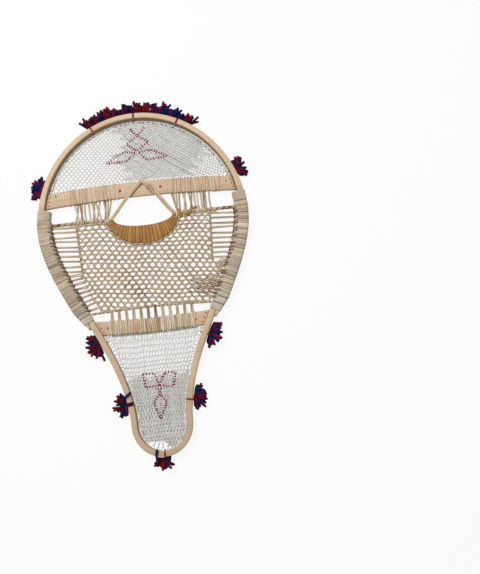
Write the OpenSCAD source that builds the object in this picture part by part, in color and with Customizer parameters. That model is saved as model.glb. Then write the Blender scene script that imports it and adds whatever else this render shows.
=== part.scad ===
// Beaver-tail snowshoe. A toe hoop and a tail hoop of bent wood lie side by side along the
// flanks, where rawhide binds them. Two crossbars carry three laced nets, a leather-bound
// toe hole and its cords. Yarn tufts hang on thread ties round the outside.
// X runs across, +Y points to the toe, Z rises from the ground.

/* [Frame outline] */
// Half width of the lap line, where the two hoops meet, at its widest row
lap_half_width = 200; // [185:1:215]
// How far the widest row lies ahead of mid-length
widest_row = 123; // [115:1:132]
// Rise of the lap line from the widest row to the toe
toe_rise = 215; // [195:1:240]
// Half width of the tail
tail_half_width = 60; // [52:1:70]
// Length of the round end of the tail
tail_round = 65; // [50:1:80]
// How far behind mid-length the round end of the tail starts
tail_start = 285; // [270:1:310]
// Pull of the curve below the widest row
shoulder_pull = 116; // [100:1:130]
// Pull of the curve above the tail
waist_pull = 143; // [125:1:160]

/* [Staves] */
// Width of a bent stave
stave_w = 12; // [10:0.5:14]
// Height of a bent stave
stave_h = 20; // [19:0.5:24]
// Depth shaved off a stave, above and below, under the bindings
shaved = 2.5; // [2.4:0.1:3]
// How far behind mid-length the toe hoop's ends reach
toe_hoop_end = 86; // [80:1:92]
// Length of the taper at the toe hoop's ends
toe_scarf = 40; // [30:1:50]
// How far ahead of mid-length the tail hoop's ends reach
tail_hoop_end = 164; // [162:1:165]
// Length of the taper at the tail hoop's ends
tail_scarf = 24; // [16:1:30]
// Thickness left at a stave's tapered end
scarf_tip = 4; // [2:0.5:6]
// Joint between two staves or between a binding and the wood
seat_gap = 0.2; // [0.1:0.05:0.3]

/* [Crossbars] */
// Place of the front crossbar's ends, ahead of mid-length
front_bar_y = 182; // [180:0.5:186]
// How far the front crossbar bows towards the toe
front_bar_bow = 8; // [4:0.5:12]
// Width of the front crossbar
front_bar_w = 30; // [26:0.5:31]
// Place of the rear crossbar's ends, behind mid-length
rear_bar_y = 87; // [85:0.5:92]
// How far the rear crossbar bows towards the tail
rear_bar_bow = 4; // [2:0.5:6]
// Width of the rear crossbar
rear_bar_w = 28; // [24:0.5:29]
// Thickness of a crossbar
bar_t = 9; // [8:0.5:9.5]
// Height of a crossbar's underside
bar_z = 4; // [3.5:0.25:4.5]
// Width of a tenon
tenon_w = 18; // [14:0.5:22]
// Thickness of a tenon
tenon_t = 5; // [4:0.25:6]
// Depth of a tenon in its mortise
tenon_depth = 5; // [4:0.25:6]
// Distance between the two red pegs on the front crossbar
peg_span = 82; // [70:1:90]
// Diameter of those pegs
peg_d = 5; // [4:0.25:6]
// Depth of those pegs
peg_depth = 6; // [4:0.25:7]
// Diameter of the thread plugs at a crossbar's ends
plug_d = 3; // [2.4:0.1:3.4]
// Distance between those plugs
plug_pitch = 8.5; // [7:0.25:9]
// Distance of those plugs from the hoop
plug_inset = 6; // [5:0.25:8]
// Diameter of the open lacing hole at a crossbar's ends
lace_hole_d = 2.6; // [2:0.1:3]
// Distance of that hole from the hoop
lace_hole_inset = 17; // [14:0.5:20]

/* [Side bindings] */
// Front edge of the smooth tape, ahead of mid-length
tape_front = 163; // [161:0.5:164]
// Where the tape ends and the rawhide winding starts
winding_front = 142; // [138:1:146]
// Where the rawhide winding ends, behind mid-length
winding_rear = 63; // [58:1:65]
// Rear edge of the end tape, behind mid-length
end_tape_rear = 76; // [74:1:78]
// Turns of the winding on each side
winding_turns = 16; // [10:1:18]
// Width of the rawhide strip
strip_w = 10; // [7:0.25:10.5]
// Thickness of the rawhide strip and of the tapes
strip_t = 1.9; // [1.4:0.1:2]

/* [Nets] */
// Height of the middle of the nets
net_z = 9; // [8:0.25:10]
// Thickness of a net
net_t = 2; // [1.5:0.25:3]
// Width of the selvage round the end nets
selvage_w = 5; // [4:0.25:7]
// Pitch of the centre net's holes across the shoe
hole_pitch = 21; // [18:0.5:26]
// Pitch of its rows of holes
row_pitch = 13; // [11:0.5:16]
// Width of a strand of the centre net
strand_w = 3.5; // [2.5:0.25:4.5]
// Pitch of the end nets' openings across the shoe
end_hole_pitch = 30; // [26:0.5:36]
// Pitch of their rows of openings
end_row_pitch = 18; // [15:0.5:22]
// Width of the fine strands, taken together, between those openings
end_strand_w = 6; // [4.5:0.25:7.5]
// Width of an end net's rim
end_rim_w = 3; // [2:0.25:5]
// Clearance between laced pieces
lace_gap = 0.3; // [0.3:0.05:0.4]

/* [Lacing] */
// Place of the master cord, ahead of mid-length
master_y = 132; // [130:0.5:134]
// Diameter of the master cord
master_d = 5; // [4:0.25:6]
// Diameter of the border and selvage cords
border_d = 4; // [3:0.25:5]
// Place of the lower border cord at the middle, behind mid-length
lower_border_y = 53; // [50:0.5:55]
// How much further back its ends lie
lower_border_dip = 4; // [2:0.5:5]
// Distance of the selvage cords' front ends from the widest lap line
selvage_inset = 64; // [60:0.5:68]
// How far the selvage cords lean in
selvage_lean = 5; // [2:0.5:8]
// Rear ends of the selvage cords, ahead of mid-length
selvage_rear = 27; // [20:1:36]
// Diameter of a single lacing strand
lace_d = 2.4; // [1.8:0.1:2.8]
// Strands on each side of the selvage cords
side_strands = 9; // [6:1:10]
// Strands on each side between the front crossbar and the master cord
suspenders = 10; // [6:1:11]
// Pairs of strands between the lower border and the rear crossbar
rear_pairs = 12; // [8:2:12]
// Distance between those pairs
rear_pair_pitch = 14.5; // [12:0.5:15]
// Lacing turns round the front crossbar
front_turns = 10; // [6:1:12]
// Lacing turns round the rear crossbar
rear_turns = 6; // [4:1:8]
// Half distance between the outer turns of the front crossbar
front_turn_half = 150; // [140:1:155]
// Half distance between the outer turns of the rear crossbar
rear_turn_half = 82; // [72:1:84]
// Thickness of those turns
turn_t = 1.6; // [1.2:0.1:1.8]
// Width of those turns
turn_w = 3.4; // [2.4:0.2:4.5]

/* [Toe hole] */
// Half width of the toe hole
hole_half = 59; // [54:0.5:64]
// Depth of the leather's inner edge below its ends
leather_dip = 17; // [12:0.5:24]
// Width of the leather at its ends
leather_end = 13; // [12:0.5:15]
// Depth of the leather's outer edge below its ends
leather_depth = 55; // [45:0.5:60]
// Thickness of the leather binding
leather_t = 7; // [6:0.25:8]
// Width of a toe cord
toe_cord_w = 7; // [5:0.25:8]
// Height of a toe cord
toe_cord_h = 4; // [3:0.25:4.2]

/* [Stitching] */
// Width of a stitched line
stitch_w = 2.6; // [2:0.1:3.5]
// Height of a stitched line above the net
stitch_t = 0.8; // [0.5:0.1:1.2]

/* [Yarn tufts] */
// Place of the side tufts, ahead of mid-length
side_tuft_y = 212; // [205:1:222]
// Place of the waist tufts, behind mid-length
waist_tuft_y = 121; // [118:1:128]
// Place of the lower tail tufts, behind mid-length
tail_tuft_y = 246; // [238:1:254]
// Reach of a tuft from its tie
tuft_reach = 27; // [20:0.5:28]
// Angle that a tuft spreads through
tuft_spread = 140; // [110:2:144]
// Half thickness of a tuft
tuft_half = 7.5; // [5:0.25:7.6]
// Height of a tuft's tie
tie_z = 8; // [7.75:0.25:8.5]
// Distance of a tuft's tie from the wood
tie_out = 5; // [5:0.25:7]
// Radius of the yarn in its tie
yarn_r = 3; // [2.5:0.1:3.4]
// Clearance of the yarn in its tie
tie_gap = 0.3; // [0.3:0.05:0.4]
// Width of a tie
tie_w = 4; // [3:0.25:5]
// Thickness of the thread of a tie
thread_t = 1; // [0.8:0.1:1.2]
// Clumps of yarn along the toe
fringe_clumps = 7; // [5:2:7]
// Reach of those clumps
fringe_reach = 22; // [18:0.5:23]
// Half width of the row of clumps
fringe_half = 104; // [95:1:110]
// Half distance between the outer ties of the toe fringe
fringe_tie_x = 90; // [80:1:95]

/* [Hidden] */
$fn = 48;

wood = "#dcbd93";
rawhide = "#bda688";
white_cord = "#e2e0d8";
leather = "#b0762f";
red_yarn = "#a01f34";
navy_yarn = "#1d2a5c";

// The lap line, on the right of the shoe, runs from the toe at 0 to the tail at 3
third_steps = 20;
nudge = 0.002;
function bezier(a, b, c, d, u) =
    pow(1 - u, 3) * a + 3 * u * pow(1 - u, 2) * b + 3 * u * u * (1 - u) * c + pow(u, 3) * d;
function toe_arc(u) = [lap_half_width * sin(90 * u), widest_row + toe_rise * cos(90 * u)];
function tail_arc(u) = [tail_half_width * cos(90 * u), -tail_start - tail_round * sin(90 * u)];
function flank(u) = bezier(
    [lap_half_width, widest_row], [lap_half_width, widest_row - shoulder_pull],
    [tail_half_width, -tail_start + waist_pull], [tail_half_width, -tail_start], u);
function lap_at(t) = t < 1 ? toe_arc(t) : t < 2 ? flank(t - 1) : tail_arc(t - 2);
function unit(v) = v / norm(v);
function lap_along(t) = unit(lap_at(min(3, t + nudge)) - lap_at(max(0, t - nudge)));
function lap_out(t) = let (v = lap_along(t)) t <= 0 ? [0, 1] : t >= 3 ? [0, -1] : [-v[1], v[0]];
function beside(t, d) = lap_at(t) + d * lap_out(t);
function row_t(y, d = 0, low = 0, high = 3, steps = 26) =
    let (mid = (low + high) / 2)
    steps == 0 ? mid
    : beside(mid, d)[1] > y ? row_t(y, d, mid, high, steps - 1)
    : row_t(y, d, low, mid, steps - 1);
function face_x(y, d) = beside(row_t(y, d), d)[0];
function flip(p) = [for (i = [0:len(p) - 1]) i == 0 ? -p[i] : p[i]];
function flipped(list) = [for (i = [len(list) - 1:-1:0]) flip(list[i])];
function reversed(list) = [for (i = [len(list) - 1:-1:0]) list[i]];
function share(v, low, high) = max(0, min(1, (v - low) / (high - low)));

// Values of t at the shared grid of facets between two ends
function grid(t0, t1) = concat(
    [t0],
    [for (i = [0:3 * third_steps]) let (t = i / third_steps) if (t > t0 + 0.01 && t < t1 - 0.01) t],
    [t1]);

// Widths of the two staves beside the lap line
function toe_w(t) = scarf_tip + (stave_w - scarf_tip)
    * share(lap_at(t)[1], -toe_hoop_end, toe_scarf - toe_hoop_end);
function tail_w(t) = scarf_tip + (stave_w - scarf_tip)
    * share(-lap_at(t)[1], -tail_hoop_end, tail_scarf - tail_hoop_end);
half_seat = seat_gap / 2;
tail_inner = stave_w + half_seat;
toe_outer = stave_w + half_seat;

shave_margin = 2;
t_shave_front = row_t(tape_front + shave_margin);
t_shave_rear = row_t(-end_tape_rear - shave_margin);
t_toe_end = row_t(-toe_hoop_end);
t_tail_end = row_t(tail_hoop_end);
t_tape_front = row_t(tape_front);
t_winding_front = row_t(winding_front);
t_winding_rear = row_t(-winding_rear);
t_end_tape_rear = row_t(-end_tape_rear);
wrap_inner = stave_w + half_seat + seat_gap + strip_t;

// Edges of the crossbars, bowed between their ends
function front_edge(x, side) = front_bar_y + side * front_bar_w / 2
    + front_bar_bow * (1 - pow(x / face_x(front_bar_y, -half_seat), 2));
function rear_edge(x, side) = -rear_bar_y + side * rear_bar_w / 2
    - rear_bar_bow * (1 - pow(x / face_x(-rear_bar_y, -tail_inner), 2));
turn_reach = seat_gap + turn_t + lace_gap;
bar_top = bar_z + bar_t;
edge_steps = 12;

// Tufts: place on the lap line, distance of the wood's face, side of the shoe, band over the wood
TUFTS = [
    [row_t(side_tuft_y, toe_outer), toe_outer, 1, false],
    [row_t(side_tuft_y, toe_outer), toe_outer, -1, false],
    [row_t(-waist_tuft_y), -half_seat, 1, false],
    [row_t(-waist_tuft_y), -half_seat, -1, false],
    [row_t(-tail_tuft_y), -half_seat, 1, true],
    [row_t(-tail_tuft_y), -half_seat, -1, true],
    [3, -half_seat, 1, true]
];
function tuft_place(i) = let (k = TUFTS[i], p = beside(k[0], k[1] + tie_out)) [k[2] * p[0], p[1]];
function tuft_turn(i) = let (k = TUFTS[i], n = lap_out(k[0])) atan2(n[1], k[2] * n[0]);
tie_outer_r = yarn_r + tie_gap + thread_t;
stem_r = 1.5;
stem_gap = 0.2;
knot_r = 3;
knot_t = 2;
notch_depth = knot_t + seat_gap + lace_gap;
notch_half = knot_r + lace_gap;

// The part's middle is halfway between the toe fringe's tip and the tail tuft's tip
fringe_face = toe_outer + lace_gap;
fringe_tip = widest_row + toe_rise + fringe_face + fringe_reach;
tail_tip = tail_start + tail_round - half_seat + tie_out + tuft_reach;
middle_shift = (tail_tip - fringe_tip) / 2;
module placed() { translate([0, middle_shift, 0]) children(); }

module both_sides() {
    children();
    mirror([1, 0, 0]) children();
}
module low_prism(z, height) { translate([0, 0, z]) linear_extrude(height) children(); }

// A solid through a list of rings, all with the same number of points
module sweep(rings) {
    count = len(rings);
    sides = len(rings[0]);
    points = [for (ring = rings) each ring];
    walls = [for (k = [0:count - 2], j = [0:sides - 1])
        let (a = k * sides + j, b = k * sides + (j + 1) % sides)
        each [[a, b, b + sides], [a, b + sides, a + sides]]];
    first_cap = [for (j = [1:sides - 2]) [0, j + 1, j]];
    last = (count - 1) * sides;
    last_cap = [for (j = [1:sides - 2]) [last, last + j, last + j + 1]];
    polyhedron(points, concat(first_cap, walls, last_cap));
}

// Rings of an oval cord along a path
cord_sides = 8;
function level(p) = [p[0], p[1]];
function cord_rings(path, width, height) = [for (k = [0:len(path) - 1])
    let (
        ahead = path[min(len(path) - 1, k + 1)] - path[max(0, k - 1)],
        flat = unit(level(ahead)),
        across = [flat[1], -flat[0], 0],
        up = unit(cross(across, ahead)))
    [for (j = [0:cord_sides - 1]) let (a = (j + 0.5) * 360 / cord_sides)
        path[k] + across * cos(a) * width / 2 + up * sin(a) * height / 2]];
module cord(path, width, height) { sweep(cord_rings(path, width, height)); }

// A straight round strand between two points
module rod(a, b, d) {
    v = b - a;
    translate(a)
        rotate([0, acos(v[2] / norm(v)), atan2(v[1], v[0])])
            cylinder(d = d, h = norm(v));
}

// Rings of a flat strip wound round a box: eight for each turn, two at each corner
turn_rings = 8;
strip_edge = 0.7;
function corner(k, a0, a1, b0, b1, cut) = let (j = k % turn_rings)
    j == 0 ? [a1, b0 + cut] : j == 1 ? [a1, b1 - cut] : j == 2 ? [a1 - cut, b1] : j == 3 ? [a0 + cut, b1]
    : j == 4 ? [a0, b1 - cut] : j == 5 ? [a0, b0 + cut] : j == 6 ? [a0 + cut, b0] : [a1 - cut, b0];
// The corner is cut so that the strip's inner face passes the box's corner by the joint's width
function corner_cut(lift) = (2 - sqrt(2)) * lift;
function corner_angle(k) = (k % turn_rings - 0.5) * 360 / turn_rings;
function strip_ring(centre, along, out, width, thick) = [
    centre - along * width / 2,
    centre - along * strip_edge * width / 2 - out * thick / 2,
    centre + along * strip_edge * width / 2 - out * thick / 2,
    centre + along * width / 2,
    centre + along * strip_edge * width / 2 + out * thick / 2,
    centre - along * strip_edge * width / 2 + out * thick / 2];
function least_gap(rings) = min([for (k = [0:len(rings) - turn_rings - 1],
    a = rings[k], b = rings[k + turn_rings]) norm(a - b)]);

// Side winding round both staves
winding_count = winding_turns * turn_rings;
winding_length = winding_front + winding_rear;
winding_margin = 1 + strip_w / 2;
function winding_ring(k) =
    let (
        y = winding_front - winding_margin - (winding_length - 2 * winding_margin) * k / winding_count,
        t = row_t(y),
        lift = seat_gap + strip_t / 2,
        widest_tail = max(tail_w(t), tail_w(row_t(y - strip_w / 2))),
        widest_toe = max(toe_w(t), toe_w(row_t(y + strip_w / 2))),
        c = corner(k, -widest_tail - half_seat - lift, widest_toe + half_seat + lift,
            shaved - lift, stave_h - shaved + lift, corner_cut(lift)),
        a = corner_angle(k),
        n = lap_out(t),
        p = beside(t, c[0]),
        v = lap_along(t))
    strip_ring([p[0], p[1], c[1]], [v[0], v[1], 0], [n[0] * cos(a), n[1] * cos(a), sin(a)],
        strip_w, strip_t);
winding = [for (k = [0:winding_count]) winding_ring(k)];

// Lacing turns round a crossbar: each crosses the top straight and steps along underneath
function step_share(k) = let (j = k % turn_rings) floor(k / turn_rings) + max(0, j - 4) / 4;
function bar_ring(k, turns, x_half, front) =
    let (
        x = -x_half + 2 * x_half * step_share(k) / turns,
        lift = seat_gap + turn_t / 2,
        low = front ? front_edge(x, -1) : rear_edge(x, -1),
        high = front ? front_edge(x, 1) : rear_edge(x, 1),
        c = corner(k, low - lift, high + lift, bar_z - lift, bar_top + lift, corner_cut(lift)),
        a = corner_angle(k))
    strip_ring([x, c[0], c[1]], [1, 0, 0], [0, cos(a), sin(a)], turn_w, turn_t);
front_lacing = [for (k = [0:front_turns * turn_rings]) bar_ring(k, front_turns, front_turn_half, true)];
rear_lacing = [for (k = [0:rear_turns * turn_rings]) bar_ring(k, rear_turns, rear_turn_half, false)];
echo(winding_least_gap = least_gap(winding));
echo(front_lacing_least_gap = least_gap(front_lacing));
echo(rear_lacing_least_gap = least_gap(rear_lacing));

// Outline of an end net, drawn in by a margin from the wood and from the crossbar
function mirrored_outline(right) = concat(right, flipped(right));
function toe_outline(margin) =
    let (
        d = -half_seat - margin,
        clear = turn_reach + margin - lace_gap,
        t_end = row_t(front_edge(face_x(front_bar_y, d), 1) + clear, d),
        x_end = beside(t_end, d)[0])
    mirrored_outline(concat(
        [for (t = grid(0, t_end)) if (t > 0) beside(t, d)],
        [for (i = [edge_steps - 1:-1:1]) let (x = x_end * i / edge_steps) [x, front_edge(x, 1) + clear]]));
function tail_outline(margin) =
    let (
        d = -tail_inner - margin,
        clear = turn_reach + margin - lace_gap,
        t_start = row_t(rear_edge(face_x(-rear_bar_y, d), -1) - clear, d),
        x_start = beside(t_start, d)[0])
    mirrored_outline(concat(
        [for (i = [1:edge_steps - 1]) let (x = x_start * i / edge_steps) [x, rear_edge(x, -1) - clear]],
        [for (t = grid(t_start, 3)) if (t < 3) beside(t, d)]));
function indices(first, count) = [for (i = [first:first + count - 1]) i];
module ring_plate(outer, inner, height) {
    linear_extrude(height)
        polygon(concat(outer, inner), [indices(0, len(outer)), indices(len(outer), len(inner))]);
}

// Lacing levels and lines
master_wave = hole_half + leather_end + lace_gap + master_d / 2;
master_drop = leather_depth + lace_gap + master_d / 2;
leather_y = master_y - 1;
master_turn_in = 8;
master_turn_out = master_wave + 8;
selvage_x = lap_half_width - selvage_inset;
arc_steps = 20;
function arc_point(half, depth, a) = [half * cos(a), leather_y - depth * sin(a)];
function lower_border(x) = -lower_border_y
    - lower_border_dip * pow(x / face_x(-lower_border_y, -wrap_inner), 2);
function selvage_at(y) = selvage_x - selvage_lean * (master_y - y) / (master_y - selvage_rear);
side_reach = wrap_inner + lace_gap;

// Outline of the centre net, and the pointed holes of a net
net_top = master_y - master_d / 2 - lace_gap;
net_shoulder = selvage_rear - 2 * lace_gap;
function net_outline() =
    let (
        border = border_d / 2 + lace_gap,
        y_end = lower_border(face_x(-lower_border_y, -side_reach)) + border,
        x_end = face_x(y_end, -side_reach),
        wave = master_wave + master_d / 2 + lace_gap,
        drop = master_drop + master_d / 2 + lace_gap,
        flank_steps = 10)
    mirrored_outline(concat(
        [for (i = [1:arc_steps]) arc_point(wave, drop, 90 + (master_turn_in - 90) * i / arc_steps)],
        [[master_turn_out + master_d / 2, net_top]],
        [[selvage_at(net_top) - border, net_top], [selvage_at(net_shoulder) - border, net_shoulder]],
        [for (i = [0:flank_steps]) let (y = net_shoulder + (y_end - net_shoulder) * i / flank_steps)
            [face_x(y, -side_reach), y]],
        [for (i = [edge_steps - 1:-1:1]) let (x = x_end * i / edge_steps) [x, lower_border(x) + border]]));
function inside(p, loop) = len([for (i = [0:len(loop) - 1])
    let (a = loop[i], b = loop[(i + 1) % len(loop)])
    if ((a[1] > p[1]) != (b[1] > p[1])
        && p[0] < a[0] + (b[0] - a[0]) * (p[1] - a[1]) / (b[1] - a[1])) 1]) % 2 == 1;
function hexagon(c, half_w, half_h) = [for (q = [[1, 0], [0.5, 1], [-0.5, 1], [-1, 0], [-0.5, -1], [0.5, -1]])
    c + [q[0] * half_w, q[1] * half_h]];
function all_inside(points, loop) = len([for (p = points) if (!inside(p, loop)) 1]) == 0;
point_share = 0.7;
function hole_places(loop, pitch, row) =
    let (columns = ceil(lap_half_width / pitch), ys = [for (p = loop) p[1]])
    [for (j = [floor(min(ys) / row):ceil(max(ys) / row)], i = [-columns:columns])
        [(i + (j % 2 == 0 ? 0 : 0.5)) * pitch, j * row]];
function net_hole(c, pitch, row, strand) =
    hexagon(c, pitch / 2 - strand * point_share, row / 2 - strand / 2);
function strand_middles(c, pitch, row, strand) =
    hexagon(c, pitch / 2 - strand * (point_share - 0.5), row / 2);
centre_loop = net_outline();
centre_holes = [for (c = hole_places(centre_loop, hole_pitch, row_pitch))
    if (all_inside(strand_middles(c, hole_pitch, row_pitch, strand_w), centre_loop))
        net_hole(c, hole_pitch, row_pitch, strand_w)];
function end_holes(loop) = [for (c = hole_places(loop, end_hole_pitch, end_row_pitch))
    if (inside(c, loop)) net_hole(c, end_hole_pitch, end_row_pitch, end_strand_w)];
end_margin = selvage_w + 2 * lace_gap;
toe_holes = end_holes(toe_outline(end_margin + end_rim_w));
tail_holes = end_holes(tail_outline(end_margin + end_rim_w));
echo(centre_net_gaps = len(centre_holes));
echo(toe_net_gaps = len(toe_holes));
echo(tail_net_gaps = len(tail_holes));

// Toe cords, from the front crossbar's far edge down to the ends of the leather
cord_z = bar_top + seat_gap + turn_t + lace_gap + toe_cord_h / 2;
cord_top = [toe_cord_w / 2 + lace_gap + 1, front_edge(0, 1) - 1];
cord_foot = [hole_half + 4.7, leather_y + 2.4];
cord_knee = 0.5;
toe_cord_path = let (knee = cord_top + cord_knee * (cord_foot - cord_top)) [
    [cord_top[0], cord_top[1], cord_z],
    [knee[0], knee[1], cord_z],
    [cord_foot[0], cord_foot[1], net_z]];

module toe_hoop() {
    color(wood) difference() {
        union() {
            both_sides() low_prism(shaved, stave_h - 2 * shaved) stave_plan(0, t_toe_end, true);
            both_sides() low_prism(0, stave_h) stave_plan(0, t_shave_front, true);
        }
        both_sides() mortise(front_bar_y, -half_seat);
        tie_holes([0, 1]);
        fringe_tie_holes();
    }
}

module tail_hoop() {
    color(wood) difference() {
        union() {
            both_sides() low_prism(shaved, stave_h - 2 * shaved) stave_plan(t_tail_end, 3, false);
            both_sides() low_prism(0, stave_h) stave_plan(t_shave_rear, 3, false);
        }
        both_sides() mortise(-rear_bar_y, -tail_inner);
        tie_holes([2, 3, 4, 5, 6]);
    }
}

// Plan of one half of a stave; it reaches a little across the middle line so that the halves join
module stave_plan(t0, t1, toe) {
    ts = grid(t0, t1);
    near = [for (t = ts) beside(t, toe ? half_seat : -half_seat)];
    far = [for (t = ts) beside(t, toe ? half_seat + toe_w(t) : -half_seat - tail_w(t))];
    polygon(concat(near, reversed(far)));
}

bar_mid_z = bar_z + bar_t / 2;
module tenon(y, d, gap) {
    x = face_x(y, d);
    translate([x - 2 * tenon_depth, y - tenon_w / 2 - gap, bar_mid_z - tenon_t / 2 - gap])
        cube([3 * tenon_depth + gap, tenon_w + 2 * gap, tenon_t + 2 * gap]);
}
module mortise(y, d) { tenon(y, d, seat_gap); }

function plug_places(y, d) = [for (i = [-1:1]) let (row = y + i * plug_pitch)
    [face_x(row, d) - plug_inset, row]];
function lace_hole_place(y, d) = [face_x(y, d) - lace_hole_inset, y + plug_pitch / 2];

module crossbar(y, d, front) {
    shoulder = -seat_gap;
    function edge(x, side) = front ? front_edge(x, side) : rear_edge(x, side);
    x_high = face_x(edge(face_x(y, d), 1), d) + shoulder;
    x_low = face_x(edge(face_x(y, d), -1), d) + shoulder;
    high = [for (i = [-edge_steps:edge_steps]) let (x = x_high * i / edge_steps) [x, edge(x, 1)]];
    low = [for (i = [-edge_steps:edge_steps]) let (x = x_low * i / edge_steps) [x, edge(x, -1)]];
    difference() {
        union() {
            low_prism(bar_z, bar_t) polygon(concat(high, reversed(low)));
            both_sides() tenon(y, d, 0);
        }
        both_sides() {
            for (p = plug_places(y, d))
                translate([p[0], p[1], bar_z - 1]) cylinder(d = plug_d + 2 * seat_gap, h = bar_t + 2);
            translate(concat(lace_hole_place(y, d), bar_z - 1)) cylinder(d = lace_hole_d, h = bar_t + 2);
        }
        if (front) both_sides() peg(seat_gap);
    }
}

module front_crossbar() { color(wood) crossbar(front_bar_y, -half_seat, true); }
module rear_crossbar() { color(wood) crossbar(-rear_bar_y, -tail_inner, false); }

// A red peg flush with the front crossbar's top
module peg(gap) {
    x = peg_span / 2;
    y = (front_edge(x, 1) + front_edge(x, -1)) / 2;
    translate([x, y, bar_top - peg_depth - gap])
        cylinder(d = peg_d + 2 * gap, h = peg_depth + (gap > 0 ? 1 : 0) + gap);
}
module front_bar_pegs() { color(red_yarn) both_sides() peg(0); }
module crossbar_plugs() {
    color(red_yarn) both_sides()
        for (p = concat(plug_places(front_bar_y, -half_seat), plug_places(-rear_bar_y, -tail_inner)))
            translate([p[0], p[1], bar_z]) cylinder(d = plug_d, h = bar_t);
}

// End nets and their selvages
net_low = net_z - net_t / 2;
selvage_t = net_t + 1;
module end_net(loop, rim, holes) {
    color(white_cord) low_prism(net_low, net_t) difference() {
        polygon(loop);
        intersection() {
            polygon(rim);
            for (h = holes) polygon(h);
        }
    }
}
module toe_net() { end_net(toe_outline(end_margin), toe_outline(end_margin + end_rim_w), toe_holes); }
module toe_net_selvage() {
    color(white_cord) difference() {
        translate([0, 0, net_z - selvage_t / 2])
            ring_plate(toe_outline(lace_gap), toe_outline(selvage_w + lace_gap), selvage_t);
        for (i = [0, 1]) at_tuft(i) translate([-tie_out, 0, 0]) knot_notch();
        for (k = fringe_ties) at_toe(k[0], k[1], toe_outer) knot_notch();
    }
}
module tail_net() { end_net(tail_outline(end_margin), tail_outline(end_margin + end_rim_w), tail_holes); }
module tail_net_selvage() {
    color(white_cord) difference() {
        translate([0, 0, net_z - selvage_t / 2])
            ring_plate(tail_outline(lace_gap), tail_outline(selvage_w + lace_gap), selvage_t);
        for (i = [2:6]) at_tuft(i) translate([-tie_out, 0, 0]) knot_notch();
    }
}
// Room in a selvage for the knot of a tie; local X starts at the wood's outer face
module knot_notch() {
    translate([-stave_w - notch_depth, -notch_half, -stave_h])
        cube([stave_w, 2 * notch_half, 2 * stave_h]);
}

// Stitched lines through a list of points
module stitched(points) {
    for (i = [0:len(points) - 2]) {
        a = points[i];
        v = points[i + 1] - a;
        translate([a[0], a[1], net_z + net_t / 2])
            rotate(atan2(v[1], v[0]))
                translate([-stitch_w / 2, -stitch_w / 2, 0])
                    cube([norm(v) + stitch_w, stitch_w, stitch_t]);
    }
}
toe_motif_y = widest_row + 145;
module toe_net_stitching() {
    color(red_yarn) translate([0, toe_motif_y, 0]) {
        both_sides() stitched([[16, 53], [0, 36], [22, 20], [0, 4]]);
        both_sides() stitched([[3, 0], [29, 4], [62, -14], [19, -17], [3, 0]]);
    }
}
tail_motif_y = -tail_start + 53;
module tail_net_stitching() {
    color(red_yarn) translate([0, tail_motif_y, 0]) {
        both_sides() stitched([[10, 45], [33, 45], [27, 14], [0, 16], [10, 45]]);
        both_sides() stitched([[0, 6], [11, -15], [0, -38]]);
    }
}

// Centre net and the cords round it
module centre_net() {
    points = concat(centre_loop, [for (h = centre_holes) each h]);
    paths = concat(
        [indices(0, len(centre_loop))],
        [for (i = [0:len(centre_holes) - 1]) indices(len(centre_loop) + 6 * i, 6)]);
    color(rawhide) low_prism(net_low, net_t) polygon(points, paths);
}
module master_cord() {
    end_x = face_x(master_y, -side_reach);
    right = concat(
        [for (i = [0:arc_steps])
            arc_point(master_wave, master_drop, 90 + (master_turn_in - 90) * i / arc_steps)],
        [[master_wave + 1.5, leather_y - 2], [master_turn_out, master_y], [end_x, master_y]]);
    whole = concat(flipped(right), [for (i = [1:len(right) - 1]) right[i]]);
    color(rawhide) cord([for (p = whole) [p[0], p[1], net_z]], master_d, master_d);
}
module lower_border_cord() {
    end_x = face_x(lower_border(face_x(-lower_border_y, -side_reach)), -side_reach)
        - border_d / 2;
    path = [for (i = [-edge_steps:edge_steps]) let (x = end_x * i / edge_steps) [x, lower_border(x), net_z]];
    color(rawhide) cord(path, border_d, border_d);
}
module right_selvage_cord() {
    y_top = net_top;
    color(rawhide) rod([selvage_at(y_top), y_top, net_z],
        [selvage_at(selvage_rear), selvage_rear, net_z], border_d);
}
module left_selvage_cord() { mirror([1, 0, 0]) right_selvage_cord(); }
module right_side_strands() {
    first = master_y - 8;
    step = (first - selvage_rear - 6) / (side_strands - 1);
    color(rawhide) for (i = [0:side_strands - 1]) {
        y = first - step * i;
        rod([selvage_at(y) + border_d / 2 + lace_gap, y, net_z],
            [face_x(y - lace_d / 2, -side_reach), y, net_z], lace_d);
    }
}
module left_side_strands() { mirror([1, 0, 0]) right_side_strands(); }
module right_suspenders() {
    first = master_turn_out;
    step = (selvage_x + 8 - first) / (suspenders - 1);
    color(rawhide) for (i = [0:suspenders - 1]) {
        x = first + step * i;
        rod([x, master_y + master_d / 2 + lace_gap, net_z],
            [x, front_edge(x, -1) - turn_reach, net_z], lace_d);
    }
}
module left_suspenders() { mirror([1, 0, 0]) right_suspenders(); }
module rear_strands() {
    spread = 1.8;
    color(rawhide) for (i = [0:rear_pairs - 1], side = [-1, 1]) {
        x = (i - (rear_pairs - 1) / 2) * rear_pair_pitch + side * spread;
        rod([x, lower_border(x) - border_d / 2 - lace_gap, net_z],
            [x, rear_edge(x, 1) + turn_reach, net_z], lace_d);
    }
}

// Leather round the edge of the toe hole, and the cords over it
module toe_hole_leather() {
    inner = [for (i = [0:arc_steps]) arc_point(hole_half, leather_dip, 180 * i / arc_steps)];
    outer = [for (i = [0:arc_steps])
        arc_point(hole_half + leather_end, leather_depth, 180 * i / arc_steps)];
    color(leather) low_prism(net_z - leather_t / 2, leather_t) polygon(concat(outer, reversed(inner)));
}
module right_toe_cord() { color(rawhide) cord(toe_cord_path, toe_cord_w, toe_cord_h); }
module left_toe_cord() { mirror([1, 0, 0]) right_toe_cord(); }

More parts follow.
